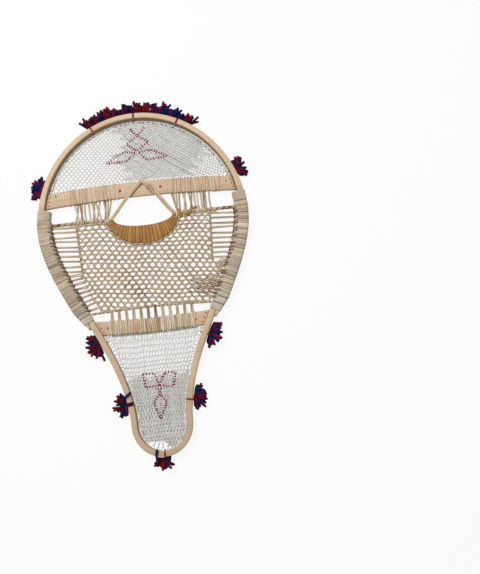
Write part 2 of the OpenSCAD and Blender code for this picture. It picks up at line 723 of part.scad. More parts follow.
// Lacing and bindings
module front_bar_lacing() { color(white_cord) sweep(front_lacing); }
module rear_bar_lacing() { color(white_cord) sweep(rear_lacing); }
module right_winding() { color(rawhide) sweep(winding); }
module left_winding() { mirror([1, 0, 0]) right_winding(); }
module tape(t0, t1) {
    function plan(ts, lift) = concat(
        [for (t = ts) beside(t, half_seat + toe_w(t) + lift)],
        reversed([for (t = ts) beside(t, -half_seat - tail_w(t) - lift)]));
    facet = 1 / third_steps;
    bore_ends = [floor(t0 / facet) * facet, ceil(t1 / facet) * facet];
    low = shaved - seat_gap - strip_t;
    color(white_cord) difference() {
        low_prism(low, stave_h - 2 * low) polygon(plan(grid(t0, t1), seat_gap + strip_t));
        low_prism(shaved - seat_gap, stave_h - 2 * (shaved - seat_gap))
            polygon(plan(grid(bore_ends[0], bore_ends[1]), seat_gap));
    }
}
tape_gap = 0.006;
module right_front_tape() { tape(t_tape_front, t_winding_front - tape_gap); }
module left_front_tape() { mirror([1, 0, 0]) right_front_tape(); }
module right_end_tape() { tape(t_winding_rear + tape_gap, t_end_tape_rear); }
module left_end_tape() { mirror([1, 0, 0]) right_end_tape(); }

// Yarn tufts, each turning in the eye of its thread tie; local X points out of the wood
module at_tuft(i) {
    translate(concat(tuft_place(i), tie_z)) rotate(tuft_turn(i)) children();
}
profile_steps = 8;
function tuft_swell(a) = pow(sin(18 + 144 * a), 0.6);
function fan_profile(root, reach, half) = concat(
    [for (i = [0:profile_steps]) let (a = i / profile_steps)
        [root + (reach - root) * a, half * tuft_swell(a)]],
    [for (i = [profile_steps:-1:0]) let (a = i / profile_steps)
        [root + (reach - root) * a, -half * tuft_swell(a)]]);
module fan(root, reach, half, spread) {
    rotate(-spread / 2) rotate_extrude(angle = spread) polygon(fan_profile(root, reach, half));
}
cheek_r = yarn_r + 1.2;
cheek_l = 8;
cheek_gap = 0.6;
tuft_root = 7;
module tuft(i, shade) {
    color(shade) at_tuft(i) {
        rotate([90, 0, 0]) cylinder(r = yarn_r, h = tie_w + 2 * cheek_gap + cheek_l, center = true);
        for (side = [0, 180])
            rotate([90, 0, side]) translate([0, 0, tie_w / 2 + cheek_gap]) cylinder(r = cheek_r, h = cheek_l);
        fan(tuft_root, tuft_reach, tuft_half, tuft_spread);
    }
}
module right_side_tuft() { tuft(0, red_yarn); }
module left_side_tuft() { tuft(1, red_yarn); }
module right_waist_tuft() { tuft(2, navy_yarn); }
module left_waist_tuft() { tuft(3, navy_yarn); }
module right_tail_tuft() { tuft(4, red_yarn); }
module left_tail_tuft() { tuft(5, red_yarn); }
module tail_end_tuft() { tuft(6, navy_yarn); }

module tie_holes(list) {
    for (i = list) at_tuft(i)
        rotate([0, -90, 0]) cylinder(r = stem_r + stem_gap, h = tie_out + stave_w + 2);
}
module tuft_ties() {
    inner_x = -tie_out - stave_w - seat_gap;
    rise = stave_h - tie_z + seat_gap;
    color(red_yarn) for (i = [0:len(TUFTS) - 1]) at_tuft(i) difference() {
        union() {
            rotate([90, 0, 0]) cylinder(r = tie_outer_r, h = tie_w, center = true);
            translate([inner_x - knot_t, 0, 0]) rotate([0, 90, 0])
                cylinder(r = stem_r, h = -inner_x + knot_t - yarn_r);
            translate([inner_x - knot_t, 0, 0]) rotate([0, 90, 0]) cylinder(r = knot_r, h = knot_t);
            if (TUFTS[i][3]) thread_band(inner_x, -tie_out + seat_gap, rise);
        }
        rotate([90, 0, 0]) cylinder(r = yarn_r + tie_gap, h = tie_w + 1, center = true);
    }
}
// Thread over the top of the wood, from the knot inside to the tie outside
module thread_band(inner_x, outer_x, rise) {
    half = stem_r;
    translate([inner_x - thread_t, -half, 0]) cube([thread_t, 2 * half, rise + thread_t]);
    translate([inner_x - thread_t, -half, rise]) cube([outer_x - inner_x + 2 * thread_t, 2 * half, thread_t]);
    translate([outer_x, -half, 0]) cube([thread_t, 2 * half, rise + thread_t]);
}

// Yarn fringe along the toe and its three ties
function fringe_t(i) = let (x = fringe_half * i / floor(fringe_clumps / 2)) x_t(abs(x));
function x_t(x, low = 0, high = 1, steps = 26) = let (mid = (low + high) / 2)
    steps == 0 ? mid
    : beside(mid, fringe_face)[0] < x ? x_t(x, mid, high, steps - 1)
    : x_t(x, low, mid, steps - 1);
fringe_root = 2;
fringe_spread = 104;
fringe_sink = fringe_root * cos(fringe_spread / 2);
module at_toe(t, side, d) {
    p = beside(t, d);
    n = lap_out(t);
    translate([side * p[0], p[1], tie_z]) rotate(atan2(n[1], side * n[0])) children();
}
module toe_fringe() {
    last = floor(fringe_clumps / 2);
    for (i = [-last:last])
        color(i % 2 == 0 ? navy_yarn : red_yarn)
            at_toe(fringe_t(i), i < 0 ? -1 : 1, fringe_face)
                translate([-fringe_sink, 0, 0])
                    fan(fringe_root, fringe_reach + fringe_sink, tuft_half, fringe_spread);
}
fringe_ties = [[x_t(fringe_tie_x), -1], [0, 1], [x_t(fringe_tie_x), 1]];
module fringe_tie_holes() {
    for (k = fringe_ties) at_toe(k[0], k[1], toe_outer)
        translate([-stave_w - 1, 0, 0]) rotate([0, 90, 0])
            cylinder(r = stem_r + stem_gap, h = stave_w + 2);
}
module toe_fringe_ties() {
    inner_x = -stave_w - seat_gap;
    rise = stave_h - tie_z + seat_gap;
    color(red_yarn) for (k = fringe_ties) at_toe(k[0], k[1], toe_outer) {
        translate([inner_x - knot_t, 0, 0]) rotate([0, 90, 0]) cylinder(r = stem_r, h = -inner_x + knot_t);
        translate([inner_x - knot_t, 0, 0]) rotate([0, 90, 0]) cylinder(r = knot_r, h = knot_t);
        translate([inner_x - thread_t, -stem_r, 0]) cube([thread_t, 2 * stem_r, rise + thread_t]);
        translate([inner_x - thread_t, -stem_r, rise]) cube([-inner_x, 2 * stem_r, thread_t]);
    }
}

echo(tuft_axes = [for (i = [0:len(TUFTS) - 1])
    [tuft_place(i)[0], tuft_place(i)[1] + middle_shift, tie_z, tuft_turn(i)]]);
echo(middle_shift = middle_shift);

placed() toe_hoop();
placed() tail_hoop();
placed() front_crossbar();
placed() rear_crossbar();
placed() front_bar_pegs();
placed() crossbar_plugs();
placed() toe_net();
placed() toe_net_selvage();
placed() toe_net_stitching();
placed() tail_net();
placed() tail_net_selvage();
placed() tail_net_stitching();
placed() centre_net();
placed() master_cord();
placed() lower_border_cord();
placed() right_selvage_cord();
placed() left_selvage_cord();
placed() right_side_strands();
placed() left_side_strands();
placed() right_suspenders();
placed() left_suspenders();
placed() rear_strands();
placed() toe_hole_leather();
placed() right_toe_cord();
placed() left_toe_cord();
placed() front_bar_lacing();
placed() rear_bar_lacing();
placed() right_winding();
placed() left_winding();
placed() right_front_tape();
placed() left_front_tape();
placed() right_end_tape();
placed() left_end_tape();
placed() toe_fringe();
placed() toe_fringe_ties();
placed() tuft_ties();
placed() right_side_tuft();
placed() left_side_tuft();
placed() right_waist_tuft();
placed() left_waist_tuft();
placed() right_tail_tuft();
placed() left_tail_tuft();
placed() tail_end_tuft();
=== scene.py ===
"""Looks of a beaver tail snowshoe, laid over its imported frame.

Lengths here are millimetres in the shoe's plan, with Y 0 at mid-length of the wood and Z 0 on the
ground. metres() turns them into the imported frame.
"""
import math

import bpy
import numpy as np
from mathutils import Matrix, Vector


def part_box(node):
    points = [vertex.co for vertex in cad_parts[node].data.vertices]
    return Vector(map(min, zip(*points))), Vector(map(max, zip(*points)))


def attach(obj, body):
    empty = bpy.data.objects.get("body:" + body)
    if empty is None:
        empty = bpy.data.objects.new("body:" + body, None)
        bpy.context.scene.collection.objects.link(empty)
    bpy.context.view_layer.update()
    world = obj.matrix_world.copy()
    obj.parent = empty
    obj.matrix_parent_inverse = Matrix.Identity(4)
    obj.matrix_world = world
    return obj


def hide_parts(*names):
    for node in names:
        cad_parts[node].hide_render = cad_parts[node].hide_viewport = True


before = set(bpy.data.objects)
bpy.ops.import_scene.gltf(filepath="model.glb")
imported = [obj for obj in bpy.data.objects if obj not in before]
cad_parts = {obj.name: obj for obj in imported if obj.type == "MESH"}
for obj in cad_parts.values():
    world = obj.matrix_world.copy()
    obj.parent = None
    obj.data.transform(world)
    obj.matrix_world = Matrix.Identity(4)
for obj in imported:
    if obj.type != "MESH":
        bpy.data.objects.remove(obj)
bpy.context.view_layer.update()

MM = 0.001
FULL = 2 * math.pi
FRAME = "frame"

# Lap line, where the two hoops meet
LAP_HALF_WIDTH = 200
WIDEST_ROW = 123
TOE_RISE = 215
TAIL_HALF_WIDTH = 60
TAIL_ROUND = 65
TAIL_START = 285
SHOULDER_PULL = 116
WAIST_PULL = 143

# Staves
STAVE_W = 12
STAVE_H = 20
SHAVED = 2.5
TOE_HOOP_END = -86
TOE_SCARF = 40
TAIL_HOOP_END = 164
TAIL_SCARF = 24
SCARF_TIP = 4
HALF_SEAT = 0.1
TOE_FACE = STAVE_W + HALF_SEAT
WRAP_T = 1.9
WRAP_INNER = TOE_FACE + 0.2 + WRAP_T

# Crossbars
FRONT_BAR_Y = 182
FRONT_BAR_BOW = 8
FRONT_BAR_W = 30
REAR_BAR_Y = -87
REAR_BAR_BOW = -4
REAR_BAR_W = 28
BAR_LOW = 4
BAR_TOP = 13
PEG_X = 41
PLUG_STEP = 8.5
PLUG_INSET = 6

# Lacing
NET_Z = 9
MASTER_Y = 132
LEATHER_Y = 131
HOLE_HALF = 59
LEATHER_DIP = 17
LEATHER_END = 13
LEATHER_DEPTH = 55
LEATHER_T = 7
LOWER_BORDER_Y = -53
LOWER_BORDER_DIP = 4
SELVAGE_X = 136
SELVAGE_LEAN = 5
SELVAGE_REAR = 27
WINDING_FRONT = 142
WINDING_REAR = -63
TAPE_FRONT = 163
END_TAPE_REAR = -76

# Yarn
TIE_Z = 8
TIE_OUT = 5
YARN_D = 5.0
YARN_LOW = 0.56 * YARN_D
FAN_ENDS = 42
LYING_ENDS = 14
LOOSE_ENDS = 8
FRINGE_HALF = 114
FRINGE_ENDS = 280
FRINGE_TIE_X = 90

# Sections of strands: width, height and number of sides
TOE_WEAVE = (1.7, 1.0, 4)
TOE_UNDER_ROW = (1.8, 0.9, 4)
TOE_EDGE = (1.2, 1.1, 6)
TAIL_WEAVE = (2.5, 1.2, 5)
TAIL_UNDER_ROW = (2.0, 0.9, 4)
TAIL_EDGE = (1.4, 1.1, 6)
CENTRE_WEAVE = (2.9, 2.0, 8)
GATHERED_ROW = (2.8, 1.9, 8)
SIDE_LACE = (2.5, 2.2, 8)
WRAP_LOOP = (4.0, 2.6, 8)
SUSPENDER = (3.5, 2.5, 8)
REAR_LACE = (3.0, 2.3, 8)
MASTER_PLY = (3.5, 3.2, 8)
BORDER_PLY = (3.1, 2.7, 7)
SELVAGE_PLY = (2.7, 2.5, 7)
FRONT_TURN = (2.7, 1.5, 8)
REAR_TURN = (2.6, 1.5, 8)
WHITE_STITCH = (1.3, 0.9, 6)
NET_LOOP = (1.7, 1.2, 6)
WRAP_STRIP = (5.0, 1.9, 10)
HITCH_STRAND = (3.2, 2.2, 8)
TOE_CORD = (4.2, 3.6, 8)
CUT_YARN = (YARN_D, YARN_D, 7)
STRAY_YARN = (6.0, 4.9, 8)
TIE_THREAD = (1.2, 1.1, 6)

TOE_TOP = WIDEST_ROW + TOE_RISE + TOE_FACE
MIDDLE = np.array([0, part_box("toe_hoop")[1].y / MM - TOE_TOP, 0])


def metres(points):
    """Points of the shoe's plan, in millimetres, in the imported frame"""
    return (np.asarray(points, float) + MIDDLE) * MM


# The lap line: t runs from the toe at 0 to the tail at 3, and is negative on the left

def lap_line(steps):
    """Places along the lap line, its plan points there and the directions out of the shoe"""
    places = np.linspace(0, 3, steps + 1)
    toe = np.clip(places, 0, 1) * math.pi / 2
    tail = np.clip(places - 2, 0, 1) * math.pi / 2
    u = np.clip(places - 1, 0, 1)[:, None]
    pulls = np.array([
        (LAP_HALF_WIDTH, WIDEST_ROW), (LAP_HALF_WIDTH, WIDEST_ROW - SHOULDER_PULL),
        (TAIL_HALF_WIDTH, WAIST_PULL - TAIL_START), (TAIL_HALF_WIDTH, -TAIL_START)], float)
    flank = (1 - u) ** 3 * pulls[0] + 3 * u * (1 - u) ** 2 * pulls[1]
    flank = flank + 3 * u * u * (1 - u) * pulls[2] + u ** 3 * pulls[3]
    toe_arc = np.stack([LAP_HALF_WIDTH * np.sin(toe), WIDEST_ROW + TOE_RISE * np.cos(toe)], 1)
    tail_arc = np.stack([TAIL_HALF_WIDTH * np.cos(tail), -TAIL_START - TAIL_ROUND * np.sin(tail)], 1)
    points = np.where(places[:, None] < 1, toe_arc, np.where(places[:, None] < 2, flank, tail_arc))
    along = np.gradient(points, axis=0)
    out = np.stack([-along[:, 1], along[:, 0]], 1)
    out[0] = (0, 1)
    out[-1] = (0, -1)
    return places, points, out / np.linalg.norm(out, axis=1, keepdims=True)


LAP_T, LAP, LAP_OUT = lap_line(1800)


def beside(t, d):
    """Plan points at places t of the lap line, d out from it"""
    t, d = np.broadcast_arrays(np.asarray(t, float), np.asarray(d, float))
    side = np.where(t < 0, -1, 1)
    x = np.interp(abs(t), LAP_T, LAP[:, 0]) + d * np.interp(abs(t), LAP_T, LAP_OUT[:, 0])
    y = np.interp(abs(t), LAP_T, LAP[:, 1]) + d * np.interp(abs(t), LAP_T, LAP_OUT[:, 1])
    return np.stack([side * x, y], -1)


def outward(t):
    """Direction out of the shoe at place t"""
    side = -1 if t < 0 else 1
    out = [np.interp(abs(t), LAP_T, LAP_OUT[:, k]) for k in (0, 1)]
    return np.array([side * out[0], out[1], 0]) / math.hypot(*out)


def along_wood(out):
    """Direction along the wood, square to the one out of the shoe"""
    return np.array([-out[1], out[0], 0])


def toe_place(x):
    """Place where the toe's outer face is x from the middle"""
    return math.asin(x / (LAP_HALF_WIDTH + TOE_FACE)) / (math.pi / 2)


def row_t(y, d=0):
    """Place on the lap line where the line d out from it crosses row y"""
    return np.interp(-np.asarray(y, float), -(LAP[:, 1] + d * LAP_OUT[:, 1]), LAP_T)


def face_x(y, d):
    """How far from the middle the line d out from the lap line crosses row y"""
    return beside(row_t(y, d), d)[..., 0]


def share(value, low, high):
    """How far value is from low to high, from 0 to 1"""
    return np.clip((value - low) / (high - low), 0, 1)


def ease(value, low, high):
    """A share that starts and ends gently"""
    part = share(value, low, high)
    return part * part * (3 - 2 * part)


def toe_w(t):
    """Width of the toe hoop's stave at places t"""
    y = np.interp(abs(t), LAP_T, LAP[:, 1])
    return SCARF_TIP + (STAVE_W - SCARF_TIP) * share(y, TOE_HOOP_END, TOE_HOOP_END + TOE_SCARF)


def tail_w(t):
    """Width of the tail hoop's stave at places t"""
    y = np.interp(abs(t), LAP_T, LAP[:, 1])
    return SCARF_TIP + (STAVE_W - SCARF_TIP) * share(-y, -TAIL_HOOP_END, TAIL_SCARF - TAIL_HOOP_END)


def bar_edge(bar_y, width, bow, wall):
    """A function for the row of a crossbar's edge at x, whose side is 1 towards the toe"""
    end = face_x(bar_y, wall)

    def edge(x, side):
        return bar_y + side * width / 2 + bow * (1 - (x / end) ** 2)

    return edge


front_edge = bar_edge(FRONT_BAR_Y, FRONT_BAR_W, FRONT_BAR_BOW, -HALF_SEAT)
rear_edge = bar_edge(REAR_BAR_Y, REAR_BAR_W, REAR_BAR_BOW, -TOE_FACE)


def lower_border(x):
    """Row of the lower border cord at x"""
    return LOWER_BORDER_Y - LOWER_BORDER_DIP * (x / face_x(LOWER_BORDER_Y, -WRAP_INNER)) ** 2


def selvage_at(y):
    """Distance of the selvage cords from the middle at row y"""
    return SELVAGE_X - SELVAGE_LEAN * (MASTER_Y - y) / (MASTER_Y - SELVAGE_REAR)


# Nodes, for shaders and for geometry

class Value:
    """An output of a node; arithmetic on it adds Math nodes"""

    def __init__(self, nodes, socket):
        self.nodes = nodes
        self.socket = socket

    def math(self, operation, first, second):
        return self.nodes.add("ShaderNodeMath", {"operation": operation}, {0: first, 1: second})

    def __add__(self, other):
        return self.math("ADD", self, other)

    def __sub__(self, other):
        return self.math("SUBTRACT", self, other)

    def __rsub__(self, other):
        return self.math("SUBTRACT", other, self)

    def __mul__(self, other):
        return self.math("MULTIPLY", self, other)

    __radd__ = __add__
    __rmul__ = __mul__


class Nodes:
    """A node tree under construction"""

    def __init__(self, tree):
        self.tree = tree

    def add(self, kind, settings=None, sockets=None, output=0):
        """A new node: its settings first, then the values or links of its sockets"""
        node = self.tree.nodes.new(kind)
        for name, value in (settings or {}).items():
            if name == "stops":
                ramp = node.color_ramp
                for place, colour in value[2:]:
                    ramp.elements.new(place).color = colour
                for element, (place, colour) in zip(ramp.elements, sorted(value)):
                    element.position = place
                    element.color = colour
            else:
                setattr(node, name, value)
        for name, value in (sockets or {}).items():
            if isinstance(value, Value):
                self.tree.links.new(value.socket, node.inputs[name])
            else:
                node.inputs[name].default_value = value
        return Value(self, node.outputs[output]) if len(node.outputs) else node

    def attribute(self, name):
        """A number kept on the points of the mesh"""
        return self.add("ShaderNodeAttribute", {"attribute_name": name}, output=2)

    def kept(self, name, kind="FLOAT_VECTOR"):
        """A value kept on the points, in a tree of geometry nodes"""
        return self.add("GeometryNodeInputNamedAttribute", {"data_type": kind}, {"Name": name})

    def noise(self, vector, scale, detail=2.0, roughness=0.5):
        return self.add("ShaderNodeTexNoise", None, {
            "Vector": vector, "Scale": scale, "Detail": detail, "Roughness": roughness})

    def stretched(self, vector, factors):
        """Coordinates scaled apart along each axis"""
        return self.add("ShaderNodeVectorMath", {"operation": "MULTIPLY"}, {0: vector, 1: factors})

    def object_place(self):
        return self.add("ShaderNodeTexCoord", None, None, output=3)

    def ramp(self, value, stops):
        return self.add("ShaderNodeValToRGB", {"stops": stops}, {"Fac": value})

    def mixed(self, factor, first, second, blend="MIX"):
        """Two colours mixed"""
        return self.add("ShaderNodeMix", {"data_type": "RGBA", "blend_type": blend},
                        {0: factor, 6: first, 7: second}, output=2)

    def surface(self, colour, roughness, height, depth, **constants):
        """The material's shader, with bumps depth metres deep"""
        bump = self.add("ShaderNodeBump", None, {"Strength": 1.0, "Distance": depth, "Height": height})
        sockets = {"Base Color": colour, "Roughness": roughness, "Normal": bump}
        sockets.update({name.replace("_", " "): value for name, value in constants.items()})
        shader = self.add("ShaderNodeBsdfPrincipled", None, sockets)
        self.add("ShaderNodeOutputMaterial", None, {"Surface": shader})


def rgb(red, green, blue):
    """A colour as a picture shows it, from 0 to 255, in the linear numbers that sockets take"""
    shown = np.array([red, green, blue]) / 255
    linear = np.where(shown <= 0.04045, shown / 12.92, ((shown + 0.055) / 1.055) ** 2.4)
    return (*linear.tolist(), 1.0)


BLACK = (0, 0, 0, 1)
WHITE = (1, 1, 1, 1)


def new_material(name):
    """An empty material and its nodes"""
    material = bpy.data.materials.new(name)
    material.use_nodes = True
    material.node_tree.nodes.clear()
    return material, Nodes(material.node_tree)


def bent_wood(name, pale, middle, dark):
    """Shaved hardwood with fine grain lines along the stave, and painted shade in brown where the tint is
    low
    """
    material, nodes = new_material(name)
    uv = nodes.add("ShaderNodeUVMap", {"uv_map": "grain"})
    lines = nodes.noise(nodes.stretched(uv, (11, 1100, 1)), 1.0, 3.0, 0.6)
    bands = nodes.noise(nodes.stretched(uv, (3, 210, 1)), 1.0, 2.0)
    flecks = nodes.noise(nodes.stretched(uv, (60, 1500, 1)), 1.0, 2.0)
    patches = nodes.noise(nodes.object_place(), 14.0, 2.0)
    grain = lines * 0.55 + bands * 0.45
    colour = nodes.ramp(grain + patches * 0.3 - 0.15, [(0.30, dark), (0.47, middle), (0.66, pale)])
    fleck = nodes.ramp(flecks, [(0.62, BLACK), (0.72, WHITE)])
    colour = nodes.mixed(fleck, colour, dark)
    # Where the tint is low, on the hoops' inner walls, brown is mixed in as painted shade; middling tints
    # darken a stave a little all over
    wall_shade_and_tone = nodes.ramp(nodes.attribute("tint") + patches * 0.1 - 0.05, [(0.10, WHITE), (0.45, BLACK)])
    colour = nodes.mixed(wall_shade_and_tone * 0.85, colour, rgb(138, 112, 78))
    nodes.surface(colour, 0.5 + lines * 0.2, grain, 0.0002)
    return material


def rawhide(name, stops, roughness, fibre, edge_shade_colour):
    """Dried hide: a tone for each strand, cloudy patches, fine fibres and painted shade along its edges"""
    material, nodes = new_material(name)
    place = nodes.object_place()
    patches = nodes.noise(place, 90.0, 3.0)
    fibres = nodes.noise(place, fibre, 2.0, 0.6)
    tone = nodes.attribute("tint") + patches * 0.5 + fibres * 0.3 - 0.4
    colour = nodes.ramp(tone, stops)
    # Each strand darkens towards the edges of its broad side by the rim attribute: painted shade, patchier
    # where the patches say
    edge = nodes.ramp(nodes.attribute("rim"), [(0.5, BLACK), (1.0, WHITE)])
    colour = nodes.mixed(edge * (0.3 + patches * 0.9), colour, edge_shade_colour)
    nodes.surface(colour, roughness + patches * 0.2, fibres * 0.7 + patches * 0.3, 0.0003)
    return material


def smoothed_leather():
    """Ochre leather straps with darker streaks along them"""
    material, nodes = new_material("tanned_leather")
    uv = nodes.add("ShaderNodeUVMap", {"uv_map": "grain"})
    streaks = nodes.noise(nodes.stretched(uv, (500, 30, 1)), 1.0, 4.0, 0.65)
    pores = nodes.noise(nodes.object_place(), 1400.0, 2.0)
    clouds = nodes.noise(nodes.object_place(), 60.0, 2.0)
    tone = nodes.attribute("tint") * 0.6 + streaks * 0.5 + clouds * 0.3 - 0.2
    colour = nodes.ramp(tone, [
        (0.22, rgb(92, 56, 18)), (0.42, rgb(144, 97, 34)), (0.60, rgb(167, 118, 46)),
        (0.85, rgb(190, 146, 76))])
    nodes.surface(colour, 0.42 + streaks * 0.3, pores * 0.6 + streaks * 0.4, 0.0003)
    return material


def wool(name, stops):
    """Yarn: fuzzy fibres, each strand with its own colour"""
    material, nodes = new_material(name)
    place = nodes.object_place()
    fuzz = nodes.noise(place, 1500.0, 3.0, 0.7)
    tone = nodes.attribute("tint") + fuzz * 0.06 - 0.03
    colour = nodes.ramp(tone, stops)
    shade = nodes.ramp(fuzz, [(0.3, (0.6, 0.6, 0.6, 1)), (0.65, WHITE)])
    colour = nodes.mixed(1.0, colour, shade, "MULTIPLY")
    nodes.surface(colour, 0.85 + fuzz * 0.1, fuzz, 0.0006, Specular_IOR_Level=0.15)
    return material


def painted_peg():
    """Red wood pegs with worn tops"""
    material, nodes = new_material("red_peg")
    place = nodes.object_place()
    wear = nodes.noise(place, 700.0, 3.0)
    colour = nodes.ramp(wear, [(0.35, rgb(140, 6, 26)), (0.6, rgb(178, 12, 36)), (0.8, rgb(190, 46, 60))])
    nodes.surface(colour, 0.5 + wear * 0.2, wear, 0.0002)
    return material


WOOD = bent_wood("pale_wood", rgb(216, 190, 158), rgb(205, 177, 143), rgb(180, 149, 113))
BAR_WOOD = bent_wood("bar_wood", rgb(213, 186, 155), rgb(200, 171, 139), rgb(172, 141, 109))
# The last colour of each rawhide is the painted shade along its strands' edges
HIDE = rawhide("rawhide_lacing", [
    (0.10, rgb(110, 82, 52)), (0.32, rgb(158, 132, 98)), (0.55, rgb(194, 171, 136)),
    (0.85, rgb(220, 205, 180))], 0.5, 1300.0, rgb(92, 66, 38))
WRAP_HIDE = rawhide("rawhide_wrap", [
    (0.10, rgb(122, 103, 82)), (0.35, rgb(170, 153, 130)), (0.60, rgb(196, 181, 159)),
    (0.90, rgb(218, 208, 192))], 0.5, 1000.0, rgb(130, 112, 90))
FINE_CORD = rawhide("white_cord", [
    (0.10, rgb(150, 146, 136)), (0.40, rgb(210, 208, 201)), (0.65, rgb(233, 232, 227)),
    (0.90, rgb(247, 247, 244))], 0.55, 1600.0, rgb(164, 158, 147))
BAR_CORD = rawhide("bar_cord", [
    (0.10, rgb(150, 124, 90)), (0.40, rgb(204, 179, 142)), (0.62, rgb(218, 198, 166)),
    (0.90, rgb(238, 230, 214))], 0.5, 1300.0, rgb(160, 135, 102))
TAPE = rawhide("pale_tape", [
    (0.10, rgb(142, 126, 108)), (0.40, rgb(173, 157, 138)), (0.65, rgb(192, 179, 162)),
    (0.90, rgb(218, 209, 196))], 0.42, 700.0, rgb(116, 100, 80))
LEATHER = smoothed_leather()
# The ramp's darkest ends, at 0 for red and 1 for navy, are painted shade at the yarn's tied roots
YARN = wool("yarn", [
    (0.00, rgb(16, 0, 3)), (0.25, rgb(108, 2, 20)), (0.45, rgb(152, 8, 30)),
    (0.50, rgb(7, 16, 60)), (0.75, rgb(12, 30, 94)), (1.00, rgb(2, 3, 10))])
RED_THREAD = wool("red_thread", [(0.0, rgb(112, 4, 38)), (0.5, rgb(162, 14, 54)), (1.0, rgb(186, 56, 88))])
PEG = painted_peg()


# Strands: lines that a tree of geometry nodes sweeps with an oval section

def headings(points, closed=False):
    """Unit direction of a line at each of its points"""
    ahead = np.roll(points, -1, 0) - np.roll(points, 1, 0)
    if not closed:
        ahead[0] = points[1] - points[0]
        ahead[-1] = points[-1] - points[-2]
    return ahead / np.maximum(np.linalg.norm(ahead, axis=1, keepdims=True), 1e-9)


def distances(points):
    """Length along a line at each of its points"""
    return np.concatenate([[0], np.cumsum(np.linalg.norm(np.diff(points, axis=0), axis=1))])


def square_to(along, across):
    """The part of across that is square to along, of unit length"""
    across = across - along * np.sum(along * across, 1, keepdims=True)
    return across / np.maximum(np.linalg.norm(across, axis=1, keepdims=True), 1e-9)


class Strand:
    """A line to be swept: its points, tone, thickness and the direction of its broad side"""

    def __init__(self, points, tint=0.5, girth=1.0, across=None, closed=False):
        self.points = np.asarray(points, float)
        self.closed = closed
        along = headings(self.points, closed)
        if across is None:
            across = np.stack([along[:, 1], -along[:, 0], np.zeros(len(along))], 1)
            across = across + np.where(abs(along[:, 2:]) > 0.98, 1.0, 0.0) * np.array([1.0, 0, 0])
        self.across = square_to(along, np.broadcast_to(across, self.points.shape))
        self.tint = np.broadcast_to(np.asarray(tint, float), len(along))
        self.girth = np.broadcast_to(np.asarray(girth, float), len(along))


def geometry_tree(name, inputs):
    """An empty tree with a geometry input, the named inputs and a geometry output"""
    tree = bpy.data.node_groups.new(name, "GeometryNodeTree")
    tree.interface.new_socket("Geometry", in_out="INPUT", socket_type="NodeSocketGeometry")
    for label, kind in inputs:
        tree.interface.new_socket(label, in_out="INPUT", socket_type="NodeSocket" + kind)
    tree.interface.new_socket("Geometry", in_out="OUTPUT", socket_type="NodeSocketGeometry")
    nodes = Nodes(tree)
    entry = tree.nodes.new("NodeGroupInput")
    values = {socket.name: Value(nodes, socket) for socket in entry.outputs if socket.name}
    return tree, nodes, values


def close_tree(nodes, geometry, material):
    """The tree's end: real geometry, smooth shading and the material"""
    geometry = nodes.add("GeometryNodeRealizeInstances", None, {"Geometry": geometry})
    geometry = nodes.add("GeometryNodeSetShadeSmooth", None, {"Geometry": geometry})
    geometry = nodes.add("GeometryNodeSetMaterial", None, {"Geometry": geometry, "Material": material})
    nodes.add("NodeGroupOutput", None, {"Geometry": geometry})


def sweep_tree():
    """Sweeps each line with an oval of a given width, height and number of sides.

    The attribute rim is 1 along the two edges of the broad side and 0 along its middle; the hide materials
    paint shade by it.
    """
    tree, nodes, given = geometry_tree("strand_sweep", [
        ("Width", "Float"), ("Height", "Float"), ("Sides", "Int"), ("Material", "Material")])
    curve = nodes.add("GeometryNodeMeshToCurve", None, {"Mesh": given["Geometry"]})
    across = nodes.kept("across")
    curve = nodes.add("GeometryNodeSetCurveNormal", {"mode": "FREE"}, {"Curve": curve, "Normal": across})
    girth = nodes.kept("girth", "FLOAT")
    circle = nodes.add("GeometryNodeCurvePrimitiveCircle", None, {
        "Resolution": given["Sides"], "Radius": 0.5})
    place = nodes.add("GeometryNodeInputPosition")
    across_section = nodes.add("ShaderNodeSeparateXYZ", None, {"Vector": place})
    rim = nodes.add("ShaderNodeMath", {"operation": "ABSOLUTE"}, {0: across_section}) * 2.0
    circle = nodes.add("GeometryNodeStoreNamedAttribute", {"data_type": "FLOAT", "domain": "POINT"},
                       {"Geometry": circle, "Name": "rim", "Value": rim})
    oval = nodes.add("ShaderNodeCombineXYZ", None, {"X": given["Width"], "Y": given["Height"], "Z": 1.0})
    profile = nodes.add("GeometryNodeTransform", None, {"Geometry": circle, "Scale": oval})
    tube = nodes.add("GeometryNodeCurveToMesh", None, {
        "Curve": curve, "Profile Curve": profile, "Scale": girth, "Fill Caps": True})
    close_tree(nodes, tube, given["Material"])
    return tree


def bead_tree():
    """Sets a small rounded bead on each point, turned and sized by the point's attributes"""
    tree, nodes, given = geometry_tree("bead_row", [
        ("Segments", "Int"), ("Rings", "Int"), ("Material", "Material")])
    bead = nodes.add("GeometryNodeMeshUVSphere", None, {
        "Segments": given["Segments"], "Rings": given["Rings"], "Radius": 0.5})
    beads = nodes.add("GeometryNodeInstanceOnPoints", None, {
        "Points": given["Geometry"], "Instance": bead, "Rotation": nodes.kept("turn"),
        "Scale": nodes.kept("size")})
    close_tree(nodes, beads, given["Material"])
    return tree


SWEEP = sweep_tree()
BEADS = bead_tree()

# Segments and rings of beads
SMALL_BEAD = (8, 5)
LARGE_BEAD = (10, 6)


def linked(name, mesh):
    """A new object in the scene"""
    made = bpy.data.objects.new(name, mesh)
    bpy.context.scene.collection.objects.link(made)
    return made


def keep_values(mesh, kind, **columns):
    """Stores numbers on the mesh's points"""
    for name, values in columns.items():
        attribute = mesh.attributes.new(name, kind, "POINT")
        key = "vector" if kind == "FLOAT_VECTOR" else "value"
        attribute.data.foreach_set(key, np.ascontiguousarray(values, np.float32).ravel())


